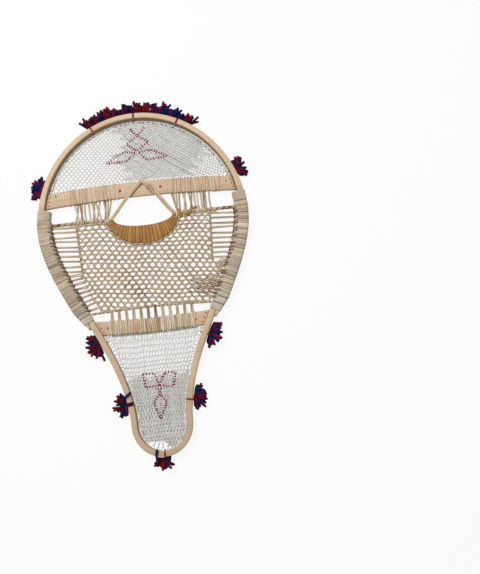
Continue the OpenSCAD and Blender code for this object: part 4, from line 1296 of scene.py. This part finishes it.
def side_strands(seed, lean):
    """Doubled strands from a selvage cord to the winding, with painted shade where they go round it"""
    rng = np.random.default_rng(seed)
    rows = 10
    first = MASTER_Y - 8
    step = (first - SELVAGE_REAR - 6) / (rows - 1)
    strands = []
    for i in range(rows):
        y = first - step * i + rng.uniform(-1, 1)
        shift = lean + rng.uniform(-1.6, 1.6)
        for side in (-1, 1):
            start = (selvage_at(y) - 0.5, y + side * rng.uniform(0.6, 1.5), NET_Z + 0.6 * side)
            middle_x = (selvage_at(y) + face_x(y, -WRAP_INNER)) / 2
            middle = (middle_x, y + side * rng.uniform(0.5, 1.3) + shift / 2, NET_Z + 0.3 * side)
            end = (face_x(y + shift, -WRAP_INNER) + 0.6, y + shift + side * 0.9, NET_Z)
            strands.append(dark_ended([start, middle, end], rng.normal(0.63, 0.1), 0.32))
    return strands


def wrap_loops(seed):
    """Strands of lacing that go round the inner edge of the right winding, where the net's strands turn;
    their dark tone is painted shade
    """
    rng = np.random.default_rng(seed)
    over = [(6.5, 18.6), (3.6, 20.4), (0.6, 20.0), (-1.3, 17.0), (-1.8, 11.0), (-1.3, 5.0), (0.5, 1.8),
            (4.0, 1.4)]
    strands = []
    step = 7.6
    for y in np.arange(MASTER_Y - 6, LOWER_BORDER_Y - 1, -step):
        y = y + rng.uniform(-1.8, 1.8)
        slant = rng.uniform(1.0, 4.0)
        reach = rng.uniform(0.5, 1.2)
        route = []
        for k, (d, z) in enumerate(over):
            place = row_t(y + slant * (0.5 - k / 7), -WRAP_INNER)
            route.append((*beside(place, d * (reach if d > 0 else 1) - WRAP_INNER), z))
        strands.append(Strand(evenly(route, 1.5), rng.normal(0.27, 0.12), across=(0.2, 1, 0)))
    return strands


def suspender_strands(seed):
    """Strands from the front crossbar to the master cord, some crossed in pairs, all looped round it"""
    rng = np.random.default_rng(seed)
    strands = []
    count = 14
    nearest_foot = 71
    leather_side = 80
    places = np.linspace(61, 137, count) + rng.uniform(-2.2, 2.2, count)
    crossed = rng.random(count // 2) < 0.55
    for i, top in enumerate(places):
        foot = places[i ^ 1] if crossed[i // 2] else top + rng.uniform(-1.5, 1.5)
        foot = max(foot, nearest_foot)
        over = 1.3 if i % 2 else -0.9
        high = front_edge(top, -1)
        cord_y = LEATHER_Y - 2 if foot < leather_side else MASTER_Y
        middle = ((top + foot) / 2 + rng.uniform(-1, 1), (high + cord_y) / 2, NET_Z + over)
        points = [(top, high + 2, BAR_LOW + 3), (top, high - 2.5, NET_Z), middle,
                  (foot, cord_y + 4.5, NET_Z + 2.2), (foot + 0.6, cord_y, NET_Z + 4.2),
                  (foot + 1.2, cord_y - 4.2, NET_Z)]
        strands.append(Strand(evenly(points, 2.0), rng.normal(0.56, 0.13)))
        a = round_angles(12)
        knot = np.stack([rng.uniform(-1.6, 1.6) * np.cos(a), 4.6 * np.cos(a), 4.0 * np.sin(a)], 1)
        knot = knot + [foot + rng.uniform(-2.2, 2.2), cord_y, NET_Z + 0.6]
        strands.append(Strand(knot, rng.normal(0.6, 0.12), across=(1, 0, 0), closed=True))
    return strands


def rear_strand_pairs(seed):
    """Pairs of strands between the lower border and the rear crossbar"""
    rng = np.random.default_rng(seed)
    strands = []
    pairs = 12
    step = 14.5
    for i in range(pairs):
        x = (i - (pairs - 1) / 2) * step
        tint = rng.normal(0.52, 0.08) - (0.34 if abs(x) < step else 0)
        for side in (-1, 1):
            top = lower_border(x)
            low = rear_edge(x, 1)
            points = [(x + side * 0.8, top + 2.2, NET_Z), (x + side * 1.0, top, NET_Z + 2.6),
                      (x + side * 1.1, top - 3.5, NET_Z + 0.6), (x + side * 1.5, (top + low) / 2, NET_Z),
                      (x + side * 1.8, low + 1.0, NET_Z + 1.0), (x + side * 1.8, low - 2.0, BAR_LOW + 2)]
            strands.append(Strand(evenly(points, 2.0), tint))
    return strands


def make_lacing_strands():
    """Open strands round the centre net"""
    for side, seed, lean in (("right", 31, -3.0), ("left", 32, 3.0)):
        rows = on_side(side, side_strands(seed, lean))
        swept(side + "_side_lacing", rows, SIDE_LACE, HIDE, [side + "_side_strands"])
        loops = on_side(side, wrap_loops(seed + 10))
        swept(side + "_wrap_loops", loops, WRAP_LOOP, HIDE)
        falls = on_side(side, suspender_strands(seed + 20))
        swept(side + "_suspender_lacing", falls, SUSPENDER, HIDE, [side + "_suspenders"])
    swept("rear_lacing", rear_strand_pairs(33), REAR_LACE, HIDE, ["rear_strands"])


def bar_turns(edge, places, tones, seed):
    """Turns of a strand round a crossbar at given distances from the middle, stepping along underneath"""
    rng = np.random.default_rng(seed)
    points, tints = [], []
    lift = 0.9
    for x, tone in zip(places, tones):
        low, high = edge(x, -1), edge(x, 1)
        across, up = rounded_box((high - low) / 2 + lift, (BAR_TOP - BAR_LOW) / 2 + lift, 2.6)
        slant = rng.uniform(-1.6, 1.6)
        y = (low + high) / 2 + across[0]
        points.append(np.stack([x + slant * across[0] / 15, y, (BAR_LOW + BAR_TOP) / 2 + up[0]], 1))
        tints.append(np.full(len(y), tone))
    return Strand(np.concatenate(points), np.concatenate(tints), across=(1, 0, 0))


def make_bar_lacing():
    """Lacing turns and end knots of both crossbars, white stitches on one and net loops on the other"""
    rng = np.random.default_rng(41)
    turns = 19
    front = []
    for low, high, seed in ((64, 159, 42), (-143, -46, 43)):
        places = np.linspace(low, high, turns) + rng.uniform(-2.2, 2.2, turns)
        front.append(bar_turns(front_edge, places, rng.normal(0.42, 0.14, turns), seed))
    swept("front_bar_turns", front, FRONT_TURN, BAR_CORD, ["front_bar_lacing"])
    dashes = []
    for x in (-157, -65, -35, -5, 11, 36, 133, 145, 178):
        low, high = front_edge(x, -1), front_edge(x, 1)
        first = high - rng.uniform(5, 14)
        last = max(low + 3, first - rng.uniform(8, 12))
        lean = rng.uniform(-1.6, 1.6)
        route = [(x, first + 0.8, BAR_TOP - 1), (x, first, BAR_TOP + 0.3), (x + lean, last, BAR_TOP + 0.3),
                 (x + lean, last - 0.8, BAR_TOP - 1)]
        dashes.append(Strand(evenly(route, 0.8), rng.uniform(0.7, 0.9)))
    swept("front_bar_white_stitches", dashes, WHITE_STITCH, FINE_CORD)
    turns = 46
    places = np.linspace(-84, 84, turns) + rng.uniform(-1.5, 1.5, turns)
    brown = np.where((abs(places + 11) < 4) | (abs(places - 9) < 4.5), 0.36, 0)
    tones = rng.normal(0.6, 0.18, turns) - brown
    rear = [bar_turns(rear_edge, places, tones, 44)]
    swept("rear_bar_turns", rear, REAR_TURN, BAR_CORD, ["rear_bar_lacing"])
    # The loops under the rear crossbar's edge are dark grey as painted shade under the bar
    loops = []
    count = 42
    for x in np.linspace(-82, 82, count) + rng.uniform(-1.3, 1.3, count):
        low = rear_edge(x, -1)
        route = [(x, low + rng.uniform(2.0, 4.5), BAR_TOP - 0.6), (x, low + 1.4, BAR_TOP + 1.8),
                 (x, low - 0.9, BAR_TOP - 1.5), (x + rng.uniform(-1, 1), low - 3.0, NET_Z - 0.5)]
        loops.append(Strand(evenly(route, 1.0), rng.uniform(-0.2, 0.25)))
    swept("rear_bar_net_loops", loops, NET_LOOP, FINE_CORD)
    ends = np.array([(-172, 192), (176, 187), (-90, -88), (86, -89)], float)
    sizes = np.full((4, 3), (3.4, 3.8, 2.2))
    beaded("bar_lacing_end_knots", at_height(ends, BAR_TOP + 0.1), np.zeros((4, 3)), sizes, np.zeros(4),
           LARGE_BEAD, HIDE)


def winding_strand(seed, front, rear, turns, lift, strip_half, tone):
    """One unbroken strip wound round both staves of the right lap, square to them at both ends"""
    rng = np.random.default_rng(seed)
    steps = 6
    per_turn = 4 * steps
    count = turns * per_turn
    k = np.arange(count)
    part = share(k, per_turn, count - per_turn)
    row = front - strip_half + (rear - front + 2 * strip_half) * part
    t = row_t(row)
    near, far = -HALF_SEAT - tail_w(t) - lift, HALF_SEAT + toe_w(t) + lift
    across, up = rounded_box((far - near) / 2, (STAVE_H - 2 * SHAVED) / 2 + lift, 3.0, steps)
    corner = k % per_turn
    uneven = np.repeat(rng.normal(0, 0.45, turns), per_turn) * np.cos(FULL * corner / per_turn + 1)
    t = row_t(row + uneven)
    plan = beside(t, (near + far) / 2 + across[k, corner])
    points = at_height(plan, STAVE_H / 2 + up[k, corner])
    out = np.array([outward(v) for v in t])
    tint = np.repeat(rng.normal(tone, 0.13, turns), per_turn)
    girth = np.repeat(rng.uniform(0.84, 1.06, turns), per_turn)
    along = np.stack([out[:, 1], -out[:, 0], 0 * t], 1)
    return Strand(points, tint, girth, across=along)


def tape_rings(front, rear, crumple, seed):
    """Rings of a tape round both staves of the right lap"""
    rng = np.random.default_rng(seed)
    y = np.linspace(front, rear, 14)
    t = row_t(y)
    lift = 0.2 + WRAP_T * np.where((y == front) | (y == rear), 0.55, 1.0) + rng.uniform(-crumple, 0, 14)
    inner = np.maximum(tail_w(t), 0.9 * STAVE_W)
    near, far = -HALF_SEAT - inner - lift, HALF_SEAT + toe_w(t) + lift
    return stave_rings(t, near, far, SHAVED - lift, STAVE_H - SHAVED + lift, 3.2)


def make_bindings():
    """Rawhide windings, the master cord's hitches over them, and tapes round the laps"""
    for side, seed, tone in (("right", 51, 0.52), ("left", 52, 0.43)):
        strip = winding_strand(seed, WINDING_FRONT, WINDING_REAR, turns=56, lift=0.2 + WRAP_T / 2,
                               strip_half=2.3, tone=tone)
        swept(side + "_winding_strip", on_side(side, [strip]), WRAP_STRIP, WRAP_HIDE, [side + "_winding"])
        hitch = winding_strand(seed + 5, MASTER_Y + 6, MASTER_Y - 8, turns=6, lift=1.35, strip_half=1.5,
                               tone=0.5)
        swept(side + "_master_cord_hitch", on_side(side, [hitch]), HITCH_STRAND, HIDE, ["master_cord"])
        for part, front, rear, crumple, shade, tape_seed in (
                ("_front_tape", TAPE_FRONT, WINDING_FRONT + 0.3, 0.25, 0.5, seed + 5),
                ("_end_tape", WINDING_REAR - 0.3, END_TAPE_REAR, 0.7, 0.7, seed + 3)):
            rings = tape_rings(front, rear, crumple, tape_seed)
            tones = np.full(rings.shape[1], shade)
            # The tape's inner top edge is darker: painted shade, as on the hoops' inner walls
            tones[INNER_TOP] -= 0.2
            tape = Loft()
            if side == "left":
                tape.add(rings[:, ::-1] * [-1, 1, 1], tones[::-1])
            else:
                tape.add(rings, tones)
            tape.piece(side + part + "_wrap", TAPE, [side + part])


def strip_rings(route, width, thick):
    """Rings of a flat strip that lies along a route"""
    path = evenly(route, 2.0)
    along = headings(path)
    across = square_to(along, np.stack([along[:, 1], -along[:, 0], 0 * along[:, 0]], 1))
    up = np.cross(along, across)
    section, lift = rounded_box(width / 2, thick / 2, 0.45 * thick)
    return path[:, None] + section[0][:, None] * across[:, None] + lift[0][:, None] * up[:, None]


def leather_rings(first, last, parts, short, thick):
    """Rings of leather across the toe hole's rear edge, between two angles of its arc"""
    rings = []
    for part, inset in parts:
        angle = first + (last - first) * part
        inner = arc_point(HOLE_HALF, LEATHER_DIP, angle)
        outer = arc_point(HOLE_HALF + LEATHER_END, LEATHER_DEPTH, angle)
        outer = inner + (outer - inner) * short
        reach = np.linalg.norm(outer - inner)
        section, up = rounded_box(reach / 2 - inset, thick - inset, thick - inset - 0.2, 5)
        plan = (inner + outer) / 2 + section[0][:, None] * (outer - inner) / reach
        rings.append(at_height(plan, NET_Z + up[0]))
    return rings


def make_leather():
    """Leather straps folded over the toe hole's rear edge, the strip beneath them and two ties"""
    rng = np.random.default_rng(61)
    straps = 27
    round_edges = [(0.0, 0.9), (0.06, 0.35), (0.25, 0.0), (0.75, 0.0), (0.94, 0.35), (1.0, 0.9)]
    leather = Loft()
    end_angle = 0.02
    edges = np.linspace(end_angle, math.pi - end_angle, straps + 1)
    edges[1:-1] += rng.uniform(-0.025, 0.025, straps - 1)
    for a, b in zip(edges[:-1], edges[1:]):
        short = rng.uniform(0.97, 1.03)
        thick = LEATHER_T / 2 * rng.uniform(0.84, 1.0)
        # Each strap is darker at its two edges: painted shade in the creases between straps
        tones = np.array([[0.3], [0.8], [1.0], [1.0], [0.8], [0.3]]) * rng.uniform(0.36, 0.68)
        leather.add(leather_rings(a, b, round_edges, short, thick), tones)
    beneath = [(part, 0.0) for part in np.linspace(0, 1, 60)]
    strip = leather_rings(edges[0] + 0.03, edges[-1] - 0.03, beneath, short=0.94, thick=LEATHER_T / 2 - 1.3)
    # The strip beneath is dark, as painted shade in the gaps between the straps
    leather.add(strip, 0.1)
    leather.piece("toe_hole_straps", LEATHER, ["toe_hole_leather"])
    outer_tie = [(88, 124.5, 10.0), (91, 128, 13.6), (99, 136, 13.0), (108, 139, 12.0), (116, 140, 9.5)]
    inner_tie = [(72, 139, 11.0), (74, 134, 14.4), (76, 127, 14.2), (77.5, 121, 10.5)]
    ties = Loft()
    for route, width in ((outer_tie, 6), (inner_tie, 7)):
        ties.add(strip_rings(route, width, thick=1.8), 0.5)
    ties.piece("right_leather_ties", LEATHER, ["toe_hole_leather"])


def make_toe_cords():
    """Two paired cords from the front crossbar's middle to the leather's ends, the right one whipped"""
    path = np.array([(2.4, 206.9, 5.5), (2.2, 207.4, 11.5), (3.2, 203.8, 16.6), (19, 187, 17.4),
                     (35, 168, 16.6), (51, 148, 12.2), (63.5, 133.0, 11.0), (66, 128, 8.0)])
    across = np.array([0.77, 0.64, 0])
    apex_shift = 4.5
    for side in ("right", "left"):
        thickness = 1.0 if side == "right" else 0.86
        strands = []
        for way in (-1, 1):
            points = evenly(path + way * 2.1 * thickness * across, 3.0)
            strands.append(Strand(points, 0.5 + way * 0.08, thickness, across))
        if side == "right":
            a = round_angles(14)[:, None]
            for middle in evenly(path[2:5], 3.0)[4:10]:
                ring = 4.8 * np.cos(a) * across + np.sin(a) * [0.8, 0, 2.9]
                strands.append(Strand(middle + ring, 0.5, 0.45, across=(0.64, -0.77, 0), closed=True))
        strands = on_side(side, strands)
        for strand in strands:
            strand.points[:, 0] += apex_shift * ease(strand.points[:, 1], 128, 207)
            strand.points[:, 2] += (0.8 if side == "right" else -0.6) * ease(strand.points[:, 1], 150, 200)
        swept(side + "_toe_cord_strands", strands, TOE_CORD, BAR_CORD, [side + "_toe_cord"])


def make_pegs():
    """Red pegs of the front crossbar and the thread plugs at the crossbars' ends"""
    def dome(piece, x, y, radius, depth, rise, tint):
        profile = [(1.0, -depth), (1.0, 0.0), (0.94, rise * 0.4), (0.72, rise * 0.85), (0.3, rise)]
        a = round_angles(14)
        rings = []
        for r, z in profile:
            ring = (x + radius * r * np.cos(a), y + radius * r * np.sin(a), BAR_TOP + z + 0 * a)
            rings.append(np.stack(ring, 1))
        piece.add(rings, tint)

    pegs = Loft()
    for x in (-PEG_X, PEG_X):
        middle = (front_edge(x, 1) + front_edge(x, -1)) / 2
        dome(pegs, x, middle, radius=2.9, depth=5.8, rise=0.5, tint=0.5)
    pegs.piece("front_bar_red_pegs", PEG, ["front_bar_pegs"])
    plugs = Loft()
    for bar_y, wall in ((FRONT_BAR_Y, -HALF_SEAT), (REAR_BAR_Y, -TOE_FACE)):
        for i in (-1, 0, 1):
            y = bar_y + i * PLUG_STEP
            for side in (-1, 1):
                x = side * (face_x(y, wall) - PLUG_INSET)
                dome(plugs, x, y, radius=1.5, depth=8.8, rise=0.5, tint=0.4)
    plugs.piece("crossbar_thread_plugs", PEG, ["crossbar_plugs"])


# Yarn

# Name, place on the lap line, distance out, seed, fullness and shift along the wood
TUFTS = [
    ("right_side_tuft", float(row_t(212, TOE_FACE)), TOE_FACE, 71, 1.02, 0),
    ("left_side_tuft", -float(row_t(212, TOE_FACE)), TOE_FACE, 72, 1.1, 3),
    ("right_waist_tuft", float(row_t(-121)), -HALF_SEAT, 73, 1.18, 5),
    ("left_waist_tuft", -float(row_t(-121)), -HALF_SEAT, 74, 1.18, -5),
    ("right_tail_tuft", float(row_t(-246)), -HALF_SEAT, 75, 1.1, 6),
    ("left_tail_tuft", -float(row_t(-246)), -HALF_SEAT, 76, 1.1, -4),
    ("tail_end_tuft", 3.0, -HALF_SEAT, 77, 0.9, -5)]


def yarn_strand(root, way, length, bend, tint):
    """A short cut end of yarn, thin and darkened by painted shade where it is tied, round at its tip, all
    above the ground
    """
    s = np.append(np.linspace(0, 0.94, 10), [0.98, 1.0])
    points = root + way * (length * s)[:, None] + bend * (s * s)[:, None]
    points[:, 2] = np.maximum(points[:, 2], YARN_LOW)
    girth = (0.72 + 0.28 * ease(s, 0.0, 0.35)) * (1 + 0.05 * np.cos(FULL * s * length / 3.2))
    girth[-2:] = (0.85, 0.55)
    # shown rises from 0.15 at the root: painted shade that darkens each tone towards the ramp's dark end
    # where the yarn is tied
    shown = 0.15 + 0.85 * ease(s, 0.0, 0.5)
    tones = tint * shown if tint < 0.5 else 1 - (1 - tint) * shown
    return Strand(points, tones, girth)


def yarn_tone(rng):
    """Red or navy, with a little spread in each"""
    return rng.uniform(0.2, 0.41) if rng.random() < 0.5 else rng.uniform(0.55, 0.82)


def curve_of_wood(place, d):
    """How sharply the wood's face falls back from a straight line, negative where it is hollow"""
    out = outward(place)[:2]
    step = beside(place - math.copysign(0.04, place), d) - beside(place, d)
    along = step @ [-out[1], out[0]]
    return -2 * (step @ out) / along ** 2


def tuft_strands(place, d, seed, reach, shift):
    """Strands of a tuft: a fan out from its tie, and ends along the wood that a swing only turns in place.

    None rises so far that a swing would press it into the wood. The tuft lies shift beside its tie.
    """
    rng = np.random.default_rng(seed)
    out = outward(place)
    side = along_wood(out)
    up = np.array([0, 0, 1.0])
    pivot = np.append(beside(place, d + TIE_OUT), TIE_Z) + side * shift
    curve = curve_of_wood(place, d)
    strands = []
    for _ in range(FAN_ENDS):
        a = math.radians(rng.uniform(-88, 88))
        lift = math.radians(rng.uniform(-13, 28))
        fan = math.cos(lift) * out + math.sin(lift) * up
        way = math.cos(a) * fan + math.sin(a) * side
        root = pivot + side * (4 * math.sin(a) + rng.uniform(-4, 4)) + fan * rng.uniform(-0.5, 4.0)
        bend = side * rng.normal(0, 3.5) + fan * rng.uniform(-0.6, 2.2)
        strands.append(yarn_strand(root, way, reach * rng.uniform(12, 20), bend, yarn_tone(rng)))
    for way in (1, -1):
        for i in range(LYING_ENDS):
            loose = i < LOOSE_ENDS
            turn = rng.uniform(0, FULL) if loose else rng.uniform(0.6, 1.3) * math.pi
            off = 2.0 * math.sqrt(rng.random()) if loose else rng.uniform(1.5, 2.2)
            root = pivot + off * (math.cos(turn) * out + math.sin(turn) * up) - side * way * 5
            length = reach * rng.uniform(14, 24)
            bend = out * (rng.uniform(0.2, 3) - curve * length ** 2 / 2) + up * rng.uniform(-1, 0.4)
            strands.append(yarn_strand(root, side * way, length, bend, yarn_tone(rng)))
    return strands


def make_tufts():
    """The seven tufts, each on its own body"""
    for name, place, d, seed, reach, shift in TUFTS:
        strands = tuft_strands(place, d, seed, reach, shift)
        swept(name + "_yarn", strands, CUT_YARN, YARN, [name], name)


def make_fringe():
    """Dense row of cut yarn along the toe, shorter towards its ends"""
    rng = np.random.default_rng(81)
    strands = []
    half = toe_place(FRINGE_HALF)
    for place in np.linspace(-0.82 * half, half, FRINGE_ENDS):
        place = place + rng.uniform(-0.004, 0.004)
        out = outward(place)
        side = along_wood(out)
        a = math.radians(rng.uniform(-52, 52))
        rise = math.radians(rng.uniform(-10, 36))
        way = math.cos(rise) * (math.cos(a) * out + math.sin(a) * side) + np.array([0, 0, math.sin(rise)])
        root = np.append(beside(place, TOE_FACE + 1.6), TIE_Z + rng.uniform(-2.5, 4.5))
        clump = 0.9 + 0.13 * math.sin(place * 80 + 1.5 * math.sin(place * 31))
        length = rng.uniform(16, 28) * clump * (1 - 0.22 * (place / half) ** 2)
        strands.append(yarn_strand(root, way, length, rng.normal(0, 1.9, 3), yarn_tone(rng)))
    swept("toe_fringe_yarn", strands, CUT_YARN, YARN, ["toe_fringe"])


def make_stray_yarn():
    """A few navy ends that lie over the wood beside their tufts"""
    over = [(1.7, 8.0), (1.7, 15.0), (0.9, 20.5), (-4.2, 22.4), (-10.5, 22.4), (-13.5, 21.6)]
    strands = []
    for start, end, tint in ((-row_t(-238), -row_t(-222), 0.7), (-row_t(-242), -row_t(-243), 0.78),
                             (-2.84, -2.8, 0.72)):
        places = start + (end - start) * np.linspace(0, 1, len(over)) ** 0.7
        route = [(*beside(t, d - HALF_SEAT), z) for t, (d, z) in zip(places, over)]
        points = evenly(route, 2.0)
        girth = 0.5 + 0.5 * ease(points[:, 2], 17, 22)
        girth[-2:] = (0.9, 0.55)
        strands.append(Strand(points, tint, girth, across=(0, 0, 1)))
    swept("stray_yarn_ends", strands, STRAY_YARN, YARN)


def tie_thread(place, outer, seed, band):
    """Red thread of a tie: a stem through the stave, a knot inside and, with a band, turns over the top"""
    rng = np.random.default_rng(seed)
    out = outward(place)
    side = along_wood(out)
    face = np.append(beside(place, outer), 0)
    inner = -STAVE_W - 0.9

    def at(d, z):
        return face + out * d + np.array([0, 0, z])

    def ring(across, radius):
        a = round_angles(12)
        return np.outer(np.cos(a), across) * radius + np.outer(np.sin(a), [0, 0, 1]) * radius

    strands = [Strand([at(d, TIE_Z) for d in (inner - 1, -6, 3.4)], 0.4, 1.6)]
    if band:
        for k in (-1, 0, 1):
            shift = side * (k + rng.uniform(-0.2, 0.2))
            route = [(1.8 - STAVE_W, 16), (1.8 - STAVE_W, STAVE_H), (2.6 - STAVE_W, STAVE_H + 0.6),
                     (-6, STAVE_H + 0.75), (-1.4, STAVE_H + 0.6), (0.8, 18.5), (0.9, TIE_Z)]
            points = [at(d, z) + shift for d, z in route]
            strands.append(Strand(evenly(points, 1.5), rng.uniform(0.4, 0.6), 1.15, across=side))
    if outer != TOE_FACE or not band:
        for k in (-1, 0, 1):
            turn = at(TIE_OUT, TIE_Z) + (ring(out, 3.8) + side * k * 1.2)
            strands.append(Strand(turn, 0.4, across=side, closed=True))
    knot = at(inner - 0.6, TIE_Z) + ring(side, 1.4)
    strands.append(Strand(knot, 0.2, 1.2, across=out, closed=True))
    return strands


def make_ties():
    """Thread ties of the tufts and of the toe fringe"""
    strands = []
    for name, place, d, seed, _, _ in TUFTS:
        strands += tie_thread(place, d, seed + 20, "tail" in name)
    swept("tuft_tie_threads", strands, TIE_THREAD, RED_THREAD, ["tuft_ties"])
    half = toe_place(FRINGE_TIE_X)
    strands = []
    for k, place in enumerate((-half, 0.0, half)):
        strands += tie_thread(place, TOE_FACE, 101 + k, True)
    swept("toe_fringe_tie_threads", strands, TIE_THREAD, RED_THREAD, ["toe_fringe_ties"])


make_toe_net()
make_tail_net()
make_stitching()
make_centre_net()
make_cords()
make_lacing_strands()
make_bar_lacing()
make_bindings()
make_leather()
make_toe_cords()
make_pegs()
make_tufts()
make_fringe()
make_stray_yarn()
make_ties()


# Camera, light and floor

def seen_rays(nodes):
    """1 where a surface or the sky is seen, also in a reflection, and 0 where it only gives light"""
    rays = nodes.tree.nodes.new("ShaderNodeLightPath")
    seen = Value(nodes, rays.outputs["Is Camera Ray"]) + Value(nodes, rays.outputs["Is Glossy Ray"])
    return seen + Value(nodes, rays.outputs["Is Transmission Ray"])


def set_stage():
    """A pale floor, soft light from the toe's left, and a camera above the tail side"""
    target = Vector((179.5, -31.0, STAVE_H)) * MM
    distance = 1.8
    tilt = math.radians(10)
    image_up = Vector((0.1101, 0.9939, 0))
    right = Vector((image_up.y, -image_up.x, 0))
    back = -image_up * math.sin(tilt) + Vector((0, 0, 1)) * math.cos(tilt)
    up = back.cross(right)
    turn = Matrix((right, up, back)).transposed().to_4x4()
    lens = bpy.data.cameras.new("camera")
    lens.sensor_fit = "AUTO"
    lens.sensor_width = 36
    lens.lens = 56.75
    camera = linked("camera", lens)
    camera.matrix_world = Matrix.Translation(target + back * distance) @ turn
    bpy.context.scene.camera = camera

    key = bpy.data.lights.new("key", "AREA")
    key.size = 0.9
    key.energy = 31
    lamp = linked("key", key)
    lamp.location = (-0.6, 1.15, 1.7)
    lamp.rotation_euler = (-lamp.location).to_track_quat("-Z", "Y").to_euler()

    world = bpy.data.worlds.new("studio")
    world.use_nodes = True
    sky = Nodes(world.node_tree)
    light = 0.44
    backdrop = sky.tree.nodes["Background"]
    backdrop.inputs["Color"].default_value = WHITE
    sky.tree.links.new((seen_rays(sky) * (1 - light) + light).socket, backdrop.inputs["Strength"])
    bpy.context.scene.world = world

    size = 6.0
    mesh = bpy.data.meshes.new("floor")
    corners = [(-size, -size, 0), (size, -size, 0), (size, size, 0), (-size, size, 0)]
    mesh.from_pydata(corners, [], [(0, 1, 2, 3)])
    floor = linked("floor", mesh)
    material, nodes = new_material("white_floor")
    lit = nodes.add("ShaderNodeBsdfDiffuse", None, {"Color": (0.86, 0.86, 0.86, 1)})
    glow = nodes.add("ShaderNodeEmission", None, {"Color": (1, 1, 1, 1), "Strength": 1.0})
    mix = nodes.add("ShaderNodeMixShader", None, {"Fac": seen_rays(nodes) * 0.9, 1: lit, 2: glow})
    nodes.add("ShaderNodeOutputMaterial", None, {"Surface": mix})
    mesh.materials.append(material)
    bpy.context.scene.view_settings.view_transform = "Standard"


set_stage()
